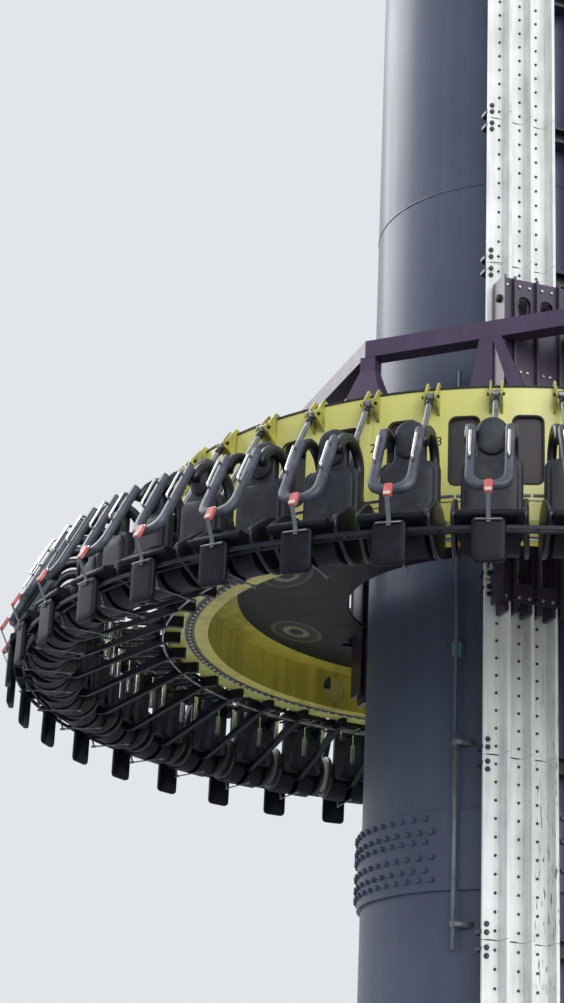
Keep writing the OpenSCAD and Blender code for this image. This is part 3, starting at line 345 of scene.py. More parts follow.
# A wave's bands lie a twentieth of a turn apart, so the size is RIB_MM times 20 / (2 pi).
ribs = laid_on(tree, "TexWave", RIB_MM * 10 / math.pi, 1, {"bands_direction": "Z"},
               Distortion=0.4).outputs["Fac"]
# The ribs' colour follows their height: the grooves are painted darker than the crests, as painted shade.
mottle(tree, shader, ribs, (0, 1), ("#474a52", "#73767e"), (0.65, 0.85))
wire(shader, Normal=add(tree, "Bump", Height=ribs, Distance=0.3 * MM, Strength=0.6).outputs[0])

glazing, tree, shader = new_material("window_smoked_acrylic", IOR=1.49)
dust = laid_on(tree, "TexNoise", 22, Detail=5).outputs["Fac"]
mottle(tree, shader, dust, (0.35, 0.7), ("#131117", "#33272f"), (0.42, 0.6))
print(len(plastic) + 2, "plastics and cloths")

# %% [markdown]
# ## The ceiling's paint
# Seen from below, the fixed ceiling inside the ring is dusty gloss paint. Its near-black ground is
# partly painted shade: the ceiling's dark purple, darkened to the shade that falls under the ring. Its
# design here is a plain pattern in the same colours: eight pale ringed discs round the tower. The
# pattern reads each point's angle about the axis, folds it into an eighth of a turn with a ping-pong,
# and takes the distance to the disc's centre. A colour ramp turns that distance into rings. Only the
# faces that look down carry them.

# %% Ceiling paint
# The ground colour below is the ceiling's purple darkened to near black, as painted shade.
DISC_AT, DISC_R, DISCS, SHADED_GROUND = 245 * MM, 40 * MM, 8, "#0b0a14"
RINGS = ((0.0, "#1f1e1f"), (0.16, "#1f1e1f"), (0.18, "#8f8f74"), (0.3, "#8f8f74"), (0.32, "#2e2d2a"),
         (0.5, "#2e2d2a"), (0.52, "#5d5c49"), (0.6, "#5d5c49"), (0.62, SHADED_GROUND))

ceiling_paint, tree, shader = new_material("ceiling_dark_gloss_paint", IOR=1.5, Coat_Weight=0.05,
                                           Coat_Roughness=0.3, Specular_IOR_Level=0.25)
axes = add(tree, "SeparateXYZ", Vector=add(tree, "TexCoord").outputs["Object"]).outputs
angle = add(tree, "Math", {"operation": "ARCTAN2"}, in_0=axes["X"], in_1=axes["Y"]).outputs[0]
folded = add(tree, "Math", {"operation": "PINGPONG"}, in_0=angle, in_1=math.pi / DISCS).outputs[0]
flat = add(tree, "CombineXYZ", X=axes["X"], Y=axes["Y"]).outputs[0]
radius = add(tree, "VectorMath", {"operation": "LENGTH"}, in_0=flat).outputs["Value"]
off = add(tree, "Math", {"operation": "SUBTRACT"}, in_0=radius, in_1=DISC_AT).outputs[0]
along = add(tree, "Math", {"operation": "MULTIPLY"}, in_0=folded, in_1=0.6 * DISC_AT).outputs[0]
place = add(tree, "CombineXYZ", X=off, Y=along).outputs[0]
distance = add(tree, "VectorMath", {"operation": "LENGTH"}, in_0=place).outputs["Value"]
share = add(tree, "MapRange", Value=distance, From_Max=DISC_R).outputs[0]
rings = add(tree, "ValToRGB", Fac=share)
while len(rings.color_ramp.elements) < len(RINGS):
    rings.color_ramp.elements.new(0.5)
for element, (stop, colour) in zip(rings.color_ramp.elements, RINGS):
    element.position, element.color = stop, linear(colour)

facing = add(tree, "SeparateXYZ", Vector=add(tree, "NewGeometry").outputs["Normal"]).outputs["Z"]
below = add(tree, "MapRange", Value=facing, From_Min=-0.6, From_Max=-0.4, **FADE).outputs[0]
design = add(tree, "Mix", BY_COLOUR, Factor=below, in_6=linear(SHADED_GROUND), in_7=rings.outputs["Color"]).outputs[2]
soil = laid_on(tree, "TexNoise", 30, Detail=6).outputs["Fac"]
mottle(tree, shader, soil, (0.3, 0.7), ("#6f6a72", "#ffffff"), (0.4, 0.6))
dusty = shader.inputs["Base Color"].links[0].from_socket
over = add(tree, "Mix", {**BY_COLOUR, "blend_type": "MULTIPLY"}, Factor=0.6, in_6=design, in_7=dusty)
wire(shader, Base_Color=over.outputs[2])
print("eight discs on the ceiling")

# %% [markdown]
# ## Materials on the CAD nodes
# The CAD file names a finish for each of its nodes. Those nodes keep their meshes and only get a
# material here, which could be done by hand in the material tab, but a loop over the names misses
# none. A few nodes share a finish in the file and look different on the ride: the ring and the
# hooks are more worn than the drum, and the struts are satin steel.

# %% Materials on the CAD nodes
by_slot = {**paint, **plastic, "galvanised": galvanised, "guide_steel": guide_steel,
           "handle_steel": handle_steel, "strap_web": webbing, "pane_dark": glazing,
           "ceiling_paint": ceiling_paint}
slot_of = {part["node"]: part["material_slot"] for part in frame["record"]["subparts"]}
own_finish = {"inner_ring": ring_yellow, "rim_brackets": hook_yellow, "seat_struts": strut_steel,
              "tie_rods": strut_steel, "seat_pans": plastic["pan_black"]}
for name, node in frame["nodes"].items():
    node.data.materials.clear()
    node.data.materials.append(own_finish.get(name, by_slot[slot_of[name]]))
print(len(slot_of), "nodes painted")

# %% [markdown]
# ## Bolts
# A big ride shows its bolts in rows: round the splice collars, down the rail plates, along the
# slewing ring. A head at this scale is a few millimetres across, so each is a small hexagon with
# a chamfered top and few faces, and one array holds every head of a row.

# %% Bolt heads


def heads(centres, outward, across, height, sides=6):
    """A closed, chamfered head on each centre.

    Three rings of points turn about each outward axis: the foot, the shoulder at two thirds of the
    height, and the smaller top. Quads join the rings, and a fan of triangles closes both ends.
    """
    centres = np.asarray(centres, float).reshape(-1, 3)
    axis = np.broadcast_to(np.asarray(outward, float), centres.shape)
    axis = axis / np.linalg.norm(axis, axis=1, keepdims=True)
    side = np.cross(axis, np.where(np.abs(axis[:, 2:]) > 0.9, (1.0, 0, 0), (0, 0, 1.0)))
    side /= np.linalg.norm(side, axis=1, keepdims=True)
    other = np.cross(axis, side)
    turn = np.arange(sides) * 2 * np.pi / sides
    ring = side[:, None] * np.cos(turn)[:, None] + other[:, None] * np.sin(turn)[:, None]
    radius, lift = np.array([1, 1, 0.74]) * across / 2, np.array([-0.15, 0.66, 1]) * height
    rings = centres[:, None, None] + ring[:, None] * radius[:, None, None]
    rings = rings + axis[:, None, None] * lift[:, None, None]
    ends = centres[:, None] + axis[:, None] * lift[[0, 2], None]
    points = np.concatenate([rings.reshape(len(centres), -1, 3), ends], axis=1)
    i, j = np.arange(sides), (np.arange(sides) + 1) % sides
    quads = np.concatenate([np.stack([i + k, j + k, j + k + sides, i + k + sides], 1) for k in (0, sides)])
    low, high = 3 * sides, 3 * sides + 1
    fans = np.concatenate([np.stack([j, i, np.full(sides, low)], 1),
                           np.stack([i + 2 * sides, j + 2 * sides, np.full(sides, high)], 1)])
    start = (np.arange(len(centres)) * (3 * sides + 2))[:, None, None]
    return points, [(quads + start).reshape(-1, 4), (fans + start).reshape(-1, 3)]


def on_ring(radius, azimuths, z):
    """Points at a radius and height, and the directions out of the axis. Azimuth 0 is the front."""
    a = np.radians(np.asarray(azimuths, float))
    out = np.stack([np.sin(a), -np.cos(a), np.zeros_like(a)], 1)
    return out * radius + (0, 0, z), out


# %% [markdown]
# The collars that join the tube sections carry three staggered rows of heads above the joint and
# three below. They leave a strip free where the conduit passes.

# %% Collar bolts
SPLICES = [552 + 1200 * k for k in range(8)]
COLLAR_R, COLLAR_ROWS, ROW_COUNT = 149.5, (31, 18, 9, -6, -18, -27), 64
CONDUIT_STRIP = (-52, -32)

rows = []
for splice in SPLICES:
    for row, up in enumerate(COLLAR_ROWS):
        azimuth = (np.arange(ROW_COUNT) + 0.5 * (row % 2)) * 360 / ROW_COUNT - 180
        azimuth = azimuth[(azimuth < CONDUIT_STRIP[0]) | (azimuth > CONDUIT_STRIP[1])]
        rows.append(heads(*on_ring(COLLAR_R, azimuth, splice + up), across=5.6, height=3.2))
make_piece("collar_bolts", rows, paint["tube_paint"], "tower")

# %% [markdown]
# Each rail plate is bolted to its saddles by a row of heads beside each brake fin, and by four
# larger ones at each joint. The heads are dark against the white paint.

# %% Rail bolts
JOINT_1, BAY, BAYS, RAIL_FACE = 123, 169, 19, 167
FRONT_ROWS, BACK_ROWS, ROW_STEP, JOINT_BOLTS = (49.4, 68.2, 91.3), (49.4, 72.0), 16.9, (-14.2, -6.8, 6.5, 14)
FRONT_EDGE, BACK_EDGE = 99.6, 87.0


def on_rails(front_x, back_x, z):
    """Points on the rail plates, left and right, at the front and then at the back, and their directions."""
    places, directions = [], []
    for lateral, s in ((front_x, -1), (back_x, 1)):
        x, height = (a.ravel() for a in np.meshgrid([*lateral, *(-v for v in lateral)], z))
        places.append(np.stack([x, np.full_like(x, s * RAIL_FACE), height], 1))
        directions.append(np.tile((0.0, s, 0), (len(x), 1)))
    return np.concatenate(places), np.concatenate(directions)


row_z = (JOINT_1 + BAY * np.arange(BAYS)[:, None] + ROW_STEP * (np.arange(10) + 0.5)).ravel()
joint_z = (JOINT_1 + BAY * np.arange(1, BAYS)[:, None] + np.array(JOINT_BOLTS)).ravel()
make_piece("rail_row_bolts", [heads(*on_rails(FRONT_ROWS, BACK_ROWS, row_z), across=3.0, height=1.4)],
           dark_bolt, "tower")
make_piece("rail_joint_bolts", [heads(*on_rails([FRONT_EDGE], [BACK_EDGE], joint_z), across=5.3, height=2.4)],
           dark_bolt, "tower")

# %% [markdown]
# ## Bearing bolts
# The turning ring hangs on a large slewing bearing. Its retaining bolts look down from the
# underside, pale zinc against the dark band.

# %% Bearing bolts
BEARING_R, BEARING_LOW, BEARING_BOLTS = 329.8, 791, 180
places, _ = on_ring(BEARING_R, np.arange(BEARING_BOLTS) * 360 / BEARING_BOLTS, BEARING_LOW)
make_piece("bearing_bolts", [heads(places, (0, 0, -1), across=4.2, height=2.2)],
           zinc_bolt, "carriage")

# %% [markdown]
# ## Housing bolts
# The magnet housings carry pale bolts in a row over their arches, in short pairs below them, and
# in a row at the lower end. A dark rubber buffer stands at the side of each housing's head.

# %% Housing bolts
HOUSING_Y = 191.5
row_x, pair_x = (44.7, 55.2, 68.9, 79.6, 93.2), (47.0, 54.0, 71.4, 78.4)
rows = [(s * x, z) for s in (-1, 1) for z in (1102, 777) for x in row_x]
pairs = [(s * x, 1009) for s in (-1, 1) for x in pair_x]
front = np.array([(x, -HOUSING_Y, z) for x, z in rows + pairs])
make_piece("housing_bolts", [heads(front, (0, -1, 0), across=3.4, height=1.6),
                             heads(front * (-1, -1, 1), (0, 1, 0), across=3.4, height=1.6)],
           zinc_bolt, "carriage")
buffers = np.array([(sx * 98.5, sy * 186.0, 1088.0) for sx in (-1, 1) for sy in (-1, 1)])
make_piece("side_buffers", [heads(buffers, np.sign(buffers) * (1, 0, 0), across=8.5, height=3.2, sides=16)],
           plastic["rubber"], "carriage", True)

# %% [markdown]
# ## Shapes by loft and sweep
# Pads, rounded bars and tubes are all the same kind of surface: a stack of rings with quads
# between them and a fan on each end. One function closes such a stack, and turns its faces
# outward if the volume that they enclose comes out negative.

# %% Lofts


def grid_quads(rows, columns, closed=True):
    """Quads between the points of a grid, row by row. Columns wrap round, and so do rows if it is closed."""
    i, j = np.arange(columns), (np.arange(columns) + 1) % columns
    row = (np.arange(rows if closed else rows - 1) * columns)[:, None]
    after = (row + columns) % (rows * columns)
    return np.stack([row + i, row + j, after + j, after + i], -1).reshape(-1, 4)


def loft(rings):
    """Close rings (m by n by 3) into one shape: quads between neighbours, a fan of triangles on each end."""
    rings = np.asarray(rings, float)
    m, n, _ = rings.shape
    i, j = np.arange(n), (np.arange(n) + 1) % n
    quads = grid_quads(m, n, closed=False)
    fans = np.concatenate([np.stack([j, i, np.full(n, m * n)], 1),
                           np.stack([i + (m - 1) * n, j + (m - 1) * n, np.full(n, m * n + 1)], 1)])
    points = np.concatenate([rings.reshape(-1, 3), [rings[0].mean(0), rings[-1].mean(0)]])
    corners = points[np.concatenate([quads[:, [0, 1, 2]], quads[:, [0, 2, 3]], fans])]
    volume = np.einsum("ij,ij->", corners[:, 0], np.cross(corners[:, 1], corners[:, 2]))
    return points, [quads[:, ::-1], fans[:, ::-1]] if volume < 0 else [quads, fans]


def rounded(width, height, radius, steps=5):
    """Outline of a rectangle with round corners, counter-clockwise about the origin."""
    a = np.concatenate([np.linspace(q, q + np.pi / 2, steps) for q in np.arange(4) * np.pi / 2])
    corner = np.repeat([[1, 1], [-1, 1], [-1, -1], [1, -1]], steps, axis=0)
    return corner * (width / 2 - radius, height / 2 - radius) + radius * np.stack([np.cos(a), np.sin(a)], 1)


def inset(outline, distance):
    """Move each point of a closed outline inward by a distance, along the mean normal of its two edges."""
    edge = np.roll(outline, -1, 0) - outline
    edge /= np.linalg.norm(edge, axis=1, keepdims=True) + 1e-9
    along = edge + np.roll(edge, 1, 0)
    along /= np.linalg.norm(along, axis=1, keepdims=True)
    return outline + distance * np.stack([-along[:, 1], along[:, 0]], 1)


def cushion(outline, depth, edge, crown=0.0, shrink=(0.72, 0.4)):
    """A pad as rings of (across, up, out): outline with rounded edges, and a face that rises in the middle.

    The edge is a quarter round of the given radius at the front and a smaller one at the back. The
    face's rings shrink towards the middle, where it has risen by the crown.
    """
    steps = [(edge * 0.5, 0), (0, edge * 0.5), (0, depth - edge),
             (edge * 0.3, depth - edge * 0.3), (edge, depth)]
    rings = [np.column_stack([inset(outline, d), np.full(len(outline), w)]) for d, w in steps]
    middle = outline.mean(0)
    for s in shrink:
        ring = middle + (inset(outline, edge) - middle) * s
        rings.append(np.column_stack([ring, np.full(len(outline), depth + crown * (1 - s * s))]))
    return np.array(rings)


def sweep(path, normal, binormal, half_width, half_depth, square=2.6, sides=12):
    """Rings of a rounded bar along a path. The section is a superellipse: 2 is round, more is squarer."""
    a = np.arange(sides) * 2 * np.pi / sides
    u = np.sign(np.cos(a)) * np.abs(np.cos(a)) ** (2 / square)
    v = np.sign(np.sin(a)) * np.abs(np.sin(a)) ** (2 / square)
    half_width = np.broadcast_to(half_width, len(path))[:, None, None]
    half_depth = np.broadcast_to(half_depth, len(path))[:, None, None]
    across = np.asarray(normal, float)[:, None] * u[:, None] * half_width
    deep = np.broadcast_to(np.asarray(binormal, float), (len(path), 3))[:, None] * v[:, None] * half_depth
    return np.asarray(path, float)[:, None] + across + deep


SEATS = 40


def around(*parts, count=SEATS, first=0.0):
    """Copies of parts drawn at the front, one for each seat, turned about the tower's axis."""
    a = np.radians(first) + np.arange(count) * 2 * np.pi / count
    turn = np.zeros((count, 3, 3))
    turn[:, 0, 0] = turn[:, 1, 1] = np.cos(a)
    turn[:, 1, 0], turn[:, 0, 1], turn[:, 2, 2] = np.sin(a), -np.sin(a), 1
    copies = []
    for points, blocks in parts:
        step = (np.arange(count) * len(points))[:, None, None]
        turned = np.einsum("nij,pj->npi", turn, points)
        copies.append((turned, [(b + step).reshape(-1, b.shape[1]) for b in blocks]))
    return copies


def at_seat(rings, r):
    """Rings of (across, up, out) as points of the front seat, out from the radius r."""
    return np.stack([rings[..., 0], -r - rings[..., 2], rings[..., 1]], -1)


# %% [markdown]
# ## Seat backs, headrests and pans
# Each seat is a moulded shell with foam pads. The shell follows the CAD seat back with soft edges,
# and the pads in front of it are crowned: the back's pad is a rounded rectangle, and the headrest's
# is a tall oval. The pan gets a pad of its own between the bolsters.

# %% Seat backs
SEAT_R, BACK_T, HEAD_HALF, PAN_Z, PAN_T = 450, 12, 13.5, 750, 6
SHOULDER_Z, HEAD_TOP = PAN_Z + 70, PAN_Z + 108
quarter = np.linspace(0, np.pi / 2, 5)
right = np.concatenate([
    [(18, PAN_Z - PAN_T)], [(18 + 8 * math.sin(a), PAN_Z - PAN_T + 8 - 8 * math.cos(a)) for a in quarter],
    [(18 + 8 * math.cos(a), SHOULDER_Z - 8 + 8 * math.sin(a)) for a in quarter],
    [(HEAD_HALF + 2, SHOULDER_Z), (HEAD_HALF, SHOULDER_Z + 2), (HEAD_HALF, SHOULDER_Z + 12)],
    [(HEAD_HALF * math.cos(a), HEAD_TOP - HEAD_HALF + HEAD_HALF * math.sin(a))
     for a in np.linspace(0, 1.5, 8)],
])
shell_outline = np.concatenate([right, (right * (-1, 1))[::-1]])
shell = loft(at_seat(cushion(shell_outline, BACK_T - 3, 2.2), SEAT_R - BACK_T))
pads = [loft(at_seat(cushion(outline, 3.4, 1.6, crown=0.9), SEAT_R - 3.6))
        for outline in (rounded(44, 62, 9) + (0, PAN_Z + 36), rounded(24, 34, 11.6) + (0, HEAD_TOP - 19))]
piece = make_piece("seat_back_pads", around(shell, *pads),
                   plastic["seat_shell"], "ring", True)
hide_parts("seat_backs")

PAN_L = 61
pan_pad = cushion(rounded(50, PAN_L - 4, 6) + (0, PAN_L / 2), 1.6, 0.8, crown=0.5)
pan_pad = np.stack([pan_pad[..., 0], -SEAT_R - pan_pad[..., 1], PAN_Z - 0.6 + pan_pad[..., 2]], -1)
piece = make_piece("pan_pads", around(loft(pan_pad)), plastic["seat_shell"], "ring", True)

# %% [markdown]
# The side bolsters are glossy mouldings: a big disc at the hip that runs forward as a rounded bar.
# The calf rest is a soft block that hangs from the pan's front.

# %% Bolsters and calf rests
BOLSTER_R, NOSE_R, BOLSTER_AT, NOSE_AT = 25, 8.5, 463, 491.5
lean = math.acos((BOLSTER_R - NOSE_R) / (NOSE_AT - BOLSTER_AT))
big, small = np.linspace(lean, 2 * np.pi - lean, 18), np.linspace(-lean, lean, 8)
side = np.concatenate([
    np.stack([BOLSTER_AT + BOLSTER_R * np.cos(big), PAN_Z + BOLSTER_R * np.sin(big)], 1),
    np.stack([NOSE_AT + NOSE_R * np.cos(small), PAN_Z + NOSE_R * np.sin(small)], 1)])
cheek = cushion(side, 4, 1.3, crown=0.2)
bolsters = [loft(np.stack([s * (27.1 + cheek[..., 2]), -cheek[..., 0], cheek[..., 1]], -1)) for s in (-1, 1)]
piece = make_piece("bolster_shells", around(*bolsters), plastic["bolster_skin"], "ring", True)
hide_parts("seat_bolsters")

CALF_T, CALF_H = 5.5, 39
block = rounded(28, CALF_H - 0.4, 5) + (0, PAN_Z - PAN_T - CALF_H / 2)
calf = loft(at_seat(cushion(block, 5.0, 1.5, crown=0.4), SEAT_R + PAN_L - CALF_T))
piece = make_piece("calf_pads", around(calf), plastic["pan_black"], "ring", True)
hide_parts("calf_rests")

# %% [markdown]
# ## Restraints
# The restraint is one U of foam on a steel core. It could be cut from a block, but a bar swept
# along a path keeps its section round everywhere. The path goes down one horn, round the foot and
# up the other. The inner edge is a half circle, and the outer one is squarer, so the foam is widest
# at the lower corners.

# %% Restraint path
BIB_OUT, BIB_UP, HORN_OUT, HORN_UP = 56, 16, 21, 85
BIB_HALF, HORN_W, BIB_T, CORNER, FOOT = 20, 8, 8, 12, 6
BIB_TILT = math.atan2(BIB_OUT - HORN_OUT, HORN_UP - BIB_UP)
BIB_L = math.hypot(BIB_OUT - HORN_OUT, HORN_UP - BIB_UP)
INNER = BIB_HALF - HORN_W


def on_restraint(p):
    """Points of the leaning restraint (across, towards the tower, up) as points of the front seat."""
    c, s = math.cos(BIB_TILT), math.sin(BIB_TILT)
    return np.stack([p[..., 0], p[..., 1] * c + p[..., 2] * s - SEAT_R - BIB_OUT,
                     -p[..., 1] * s + p[..., 2] * c + PAN_Z + BIB_UP], -1)


# Round the foot, u is the direction from the half circle's centre. The outer edge lies where that
# direction meets the U's straight sides and foot, or the corner's own circle between them.
angle = np.linspace(np.pi, 2 * np.pi, 21)
u = np.stack([np.cos(angle), np.sin(angle)], 1)
flat = np.minimum(BIB_HALF / np.maximum(np.abs(u[:, 0]), 1e-6), (FOOT + INNER) / np.maximum(-u[:, 1], 1e-6))
edge = np.abs(u[:, 0]) * flat, FOOT + INNER + u[:, 1] * flat
q = np.stack([np.sign(u[:, 0]) * (CORNER - BIB_HALF), np.full(len(u), float(FOOT + INNER - CORNER))], 1)
reach = -(q * u).sum(1) + np.sqrt(np.maximum((q * u).sum(1) ** 2 - (q * q).sum(1) + CORNER**2, 0))
outer = np.where((edge[0] > BIB_HALF - CORNER) & (edge[1] < CORNER), reach, flat)
bend = u * ((INNER + outer) / 2)[:, None] + (0, FOOT + INNER)

# Each horn is straight, and its top closes as a quarter circle.
tip = np.sin(np.linspace(0, np.pi / 2, 5))
rise = BIB_L - HORN_W / 2 + HORN_W / 2 * tip[:-1]
horn_z = np.concatenate([np.linspace(FOOT + INNER + 6, BIB_L - HORN_W / 2 - 2, 6), rise])
horn_half = HORN_W / 2 * np.concatenate([np.ones(6), np.sqrt(1 - tip[:-1] ** 2)])
horn_half = np.maximum(horn_half, 0.6)
mid_x = BIB_HALF - HORN_W / 2

# The whole path, its half width and the direction across it.
horn = np.stack([np.full(len(horn_z), mid_x), horn_z], 1)
line = np.concatenate([(horn * (-1, 1))[::-1], bend, horn])
half = np.concatenate([horn_half[::-1], (outer - INNER) / 2, horn_half])
right_way = np.tile((1.0, 0), (len(horn), 1))
side_way = np.concatenate([-right_way, u, right_way])
centre = np.stack([line[:, 0], np.full(len(line), -BIB_T / 2), line[:, 1]], 1)
normal = np.stack([side_way[:, 0], np.zeros(len(line)), side_way[:, 1]], 1)
depth = np.minimum(BIB_T / 2, half * 1.3)
bib = loft(on_restraint(sweep(centre, normal, (0, 1, 0), half, depth, square=3.0, sides=14)))
piece = make_piece("restraint_pads", around(bib), plastic["restraint_skin"], "ring", True)
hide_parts("restraint_bibs")

# %% [markdown]
# ## Shoulder arms
# Each restraint hangs on two arms that bow over the rider's shoulders and end in a pivot behind the
# seat. A bent tube would look too thin: the real arm is a glossy squarish moulding, so its section
# is a superellipse, swept along a half circle and a straight end. A turned disc makes the pivot.

# %% Shoulder arms
ARM_R, ARM_T, ARM_W, BEND_Z, PIVOT_Z, PIVOT_R = 26, 9, 8, PAN_Z + 72, PAN_Z + 45, 7
bow = np.linspace(np.radians(4), np.pi, 16)
arm_r = np.concatenate([SEAT_R + (ARM_R - ARM_T / 2) * np.cos(bow), np.full(3, SEAT_R - ARM_R + ARM_T / 2)])
arm_z = np.concatenate([BEND_Z + (ARM_R - ARM_T / 2) * np.sin(bow), np.linspace(BEND_Z - 9, PIVOT_Z, 3)])
out_r = np.concatenate([np.cos(bow), -np.ones(3)])
out_z = np.concatenate([np.sin(bow), np.zeros(3)])
arms = []
for s in (-1, 1):
    x = s * (BIB_HALF + 2 - ARM_W / 2)
    centre = np.stack([np.full(len(arm_z), x), -arm_r, arm_z], 1)
    normal = np.stack([np.zeros(len(arm_z)), -out_r, out_z], 1)
    arms.append(loft(sweep(centre, normal, (1, 0, 0), ARM_T / 2, ARM_W / 2, square=3.4)))
    a = np.arange(20) * 2 * np.pi / 20
    hub = np.stack([np.zeros(20), PIVOT_R * np.cos(a), PIVOT_R * np.sin(a)], 1)
    place, share = np.array([(x - 4.4, 0.8), (x - 3.8, 1), (x + 3.8, 1), (x + 4.4, 0.8)]).T
    middle = np.stack([place, np.full(4, -(SEAT_R - BACK_T - PIVOT_R - 0.1)), np.full(4, PIVOT_Z)], 1)
    arms.append(loft(hub * share[:, None, None] + middle[:, None]))
piece = make_piece("shoulder_arm_shells", around(*arms),
                   plastic["bolster_skin"], "ring", True)
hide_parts("shoulder_arms")

# %% [markdown]
# ## Grab handles
# A bright bar stands off the front of each horn. It is bent from one rod, with a small radius at
# both ends, so its path is half a handle and its mirror image, and a round section is swept along.

# %% Grab handles
HANDLE_L, HANDLE_OFF, HANDLE_T, HANDLE_DROP, TURN_R = 33, 3, 2.6, 13, 1.6
stand = HANDLE_OFF + HANDLE_T / 2
foot_z, head_z = BIB_L - HANDLE_DROP - HANDLE_L + HANDLE_T / 2, BIB_L - HANDLE_DROP - HANDLE_T / 2
k = np.linspace(0, np.pi / 2, 4)
turn = np.stack([stand - TURN_R + TURN_R * np.sin(k), foot_z + TURN_R - TURN_R * np.cos(k)], 1)
half_path = np.concatenate([[(0.4, foot_z)], turn])
half_out = np.concatenate([[(0, -1.0)], np.stack([np.sin(k), -np.cos(k)], 1)])
grip = np.concatenate([half_path, (half_path * (1, -1) + (0, foot_z + head_z))[::-1]])
grip_out = np.concatenate([half_out, (half_out * (1, -1))[::-1]])
handles = []
for s in (-1, 1):
    centre = np.stack([np.full(len(grip), s * mid_x), -BIB_T - grip[:, 0], grip[:, 1]], 1)
    normal = np.stack([np.zeros(len(grip)), -grip_out[:, 0], grip_out[:, 1]], 1)
    bar = sweep(centre, normal, (1, 0, 0), HANDLE_T / 2, HANDLE_T / 2, square=2, sides=8)
    handles.append(loft(on_restraint(bar)))
piece = make_piece("handle_bars", around(*handles), handle_steel, "ring", True)
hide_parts("grab_handles")

# %% [markdown]
# ## The drum's trim
# The drum is sheet steel in segments. A dark rubber edge closes its rim, each window sits in a
# rubber seal, and a horizontal joint runs below the windows with a row of small rivets. A black
# strip round its lower edge is painted shadow, the shade in the gap under the drum, and carries reflectors.

# %% Drum trim
DRUM_R, DRUM_LOW, DRUM_TOP = 360, 791, 925


def band(r_low, z_low, r_high, z_high, thick, count=240):
    """A closed ring band round the tower, between two edges, with a thickness measured outward."""
    azimuth = np.arange(count) * 2 * np.pi / count
    inner, outer = (r_low, z_low), (r_high, z_high)
    section = np.array([inner, (r_low + thick, z_low), (r_high + thick, z_high), outer], float)
    points = np.stack([section[:, 0] * np.sin(azimuth)[:, None], -section[:, 0] * np.cos(azimuth)[:, None],
                       np.broadcast_to(section[:, 1], (count, 4))], -1)
    return points.reshape(-1, 3), grid_quads(count, 4)[:, ::-1]


make_piece("rim_edge", [band(DRUM_R, DRUM_TOP - 1.6, DRUM_R, DRUM_TOP + 0.4, 0.8)],
           plastic["rubber"], "ring")
# The black strip round the drum's foot is painted shadow: the shade in the gap under the drum.
make_piece("shadow_gap_strip", [band(DRUM_R - 3.2, DRUM_LOW - 4.4, DRUM_R - 3.2, DRUM_LOW - 0.1, 1.2)],
           paint["black_steel"], "ring")
make_piece("drum_joint", [band(DRUM_R, 814.6, DRUM_R, 815.5, 0.2)], paint["arm_paint"], "ring")
places, out = on_ring(DRUM_R, np.arange(240) * 1.5 + 0.75, 811.5)
make_piece("drum_rivets", [heads(places, out, across=1.7, height=0.6)],
           paint["yellow_paint"], "ring")

foot, face = rounded(5.0, 1.9, 0.8, steps=2), rounded(4.4, 1.3, 0.6, steps=2)
dash = loft([
    np.column_stack([side[:, 0], np.full(len(side), -DRUM_R + 2.1 - out), side[:, 1] + DRUM_LOW - 2.2])
    for side, out in ((foot, 0.0), (face, 0.4))
])
make_piece("edge_reflectors", around(dash, count=240, first=0.75),
           paint["yellow_paint"], "ring")

WINDOW_W, WINDOW_H, WINDOW_R, WINDOW_Z = 27, 65, 6, 863.5
seal = []
for width, thick in ((-0.9, 0), (-0.9, 0.5), (-0.3, 0.9), (0.5, 0.9), (1.0, 0.2), (1.0, -0.4)):
    outline = rounded(WINDOW_W + 2 * width, WINDOW_H + 2 * width, WINDOW_R + width, steps=5)
    a = outline[:, 0] / DRUM_R
    r = DRUM_R + thick
    seal.append(np.stack([r * np.sin(a), -r * np.cos(a), outline[:, 1] + WINDOW_Z], 1))
seal = np.array(seal)
loops = grid_quads(*seal.shape[:2])
make_piece("window_seals", around((seal.reshape(-1, 3), [loops]), first=4.5),
           plastic["rubber"], "ring")

# %% [markdown]
# ## Seat numbers
# Each seat's number is painted on the drum below its bracket. Blender's own text object draws the
# digits, its outline becomes a mesh, and each point is wrapped round the drum: its place across
# becomes an angle, and its place up stays a height.

# %% Seat numbers
NUMBER_Z, NUMBER_SIZE, NUMBER_FIRST = 869.6, 12.0, 19
digits = []
for seat in range(SEATS):
    words = bpy.data.curves.new("number", "FONT")
    words.body, words.size, words.extrude = str((NUMBER_FIRST + seat - 1) % SEATS + 1), NUMBER_SIZE, 0.12
    words.align_x, words.resolution_u = "CENTER", 3
    holder = bpy.data.objects.new("number", words)
    flat_mesh = holder.to_mesh()
    at = np.zeros(len(flat_mesh.vertices) * 3)
    flat_mesh.vertices.foreach_get("co", at)
    at = at.reshape(-1, 3)
    a = np.radians(0.45 - 360 / SEATS * seat) + at[:, 0] / DRUM_R
    r = DRUM_R + at[:, 2] + 0.05
    wrapped = np.stack([r * np.sin(a), -r * np.cos(a), at[:, 1] + NUMBER_Z], 1)
    digits.append((wrapped, [np.array([p.vertices]) for p in flat_mesh.polygons]))
    holder.to_mesh_clear()
    bpy.data.objects.remove(holder)
make_piece("seat_numbers", digits, paint["black_steel"], "ring")

# %% [markdown]
# ## Strut fittings
# Every strut has a dark sleeve at its upper end, inside the bracket, and a bright clamp at its
# lower end, where it grips the seat's frame.

# %% Strut fittings
LOW_AT, HIGH_AT = np.array([0, -434.15, PAN_Z + 53]), np.array([0, -372.0, DRUM_TOP - 13])
way = (HIGH_AT - LOW_AT) / np.linalg.norm(HIGH_AT - LOW_AT)
cross = np.cross(way, (1, 0, 0))


def rod(start, end, stops, sides=8):
    """A turned rod between two points: stops are (share of its length, radius) pairs."""
    start, end = np.array(start, float), np.array(end, float)
    way = (end - start) / np.linalg.norm(end - start)
    first = np.cross(way, (0, 0, 1)) if abs(way[2]) < 0.9 else np.array((1.0, 0, 0))
    share, radius = np.array(stops, float).T
    path = start + (end - start) * share[:, None]
    first = np.tile(first, (len(stops), 1))
    return loft(sweep(path, first, np.cross(way, first[0]), radius, radius, square=2, sides=sides))


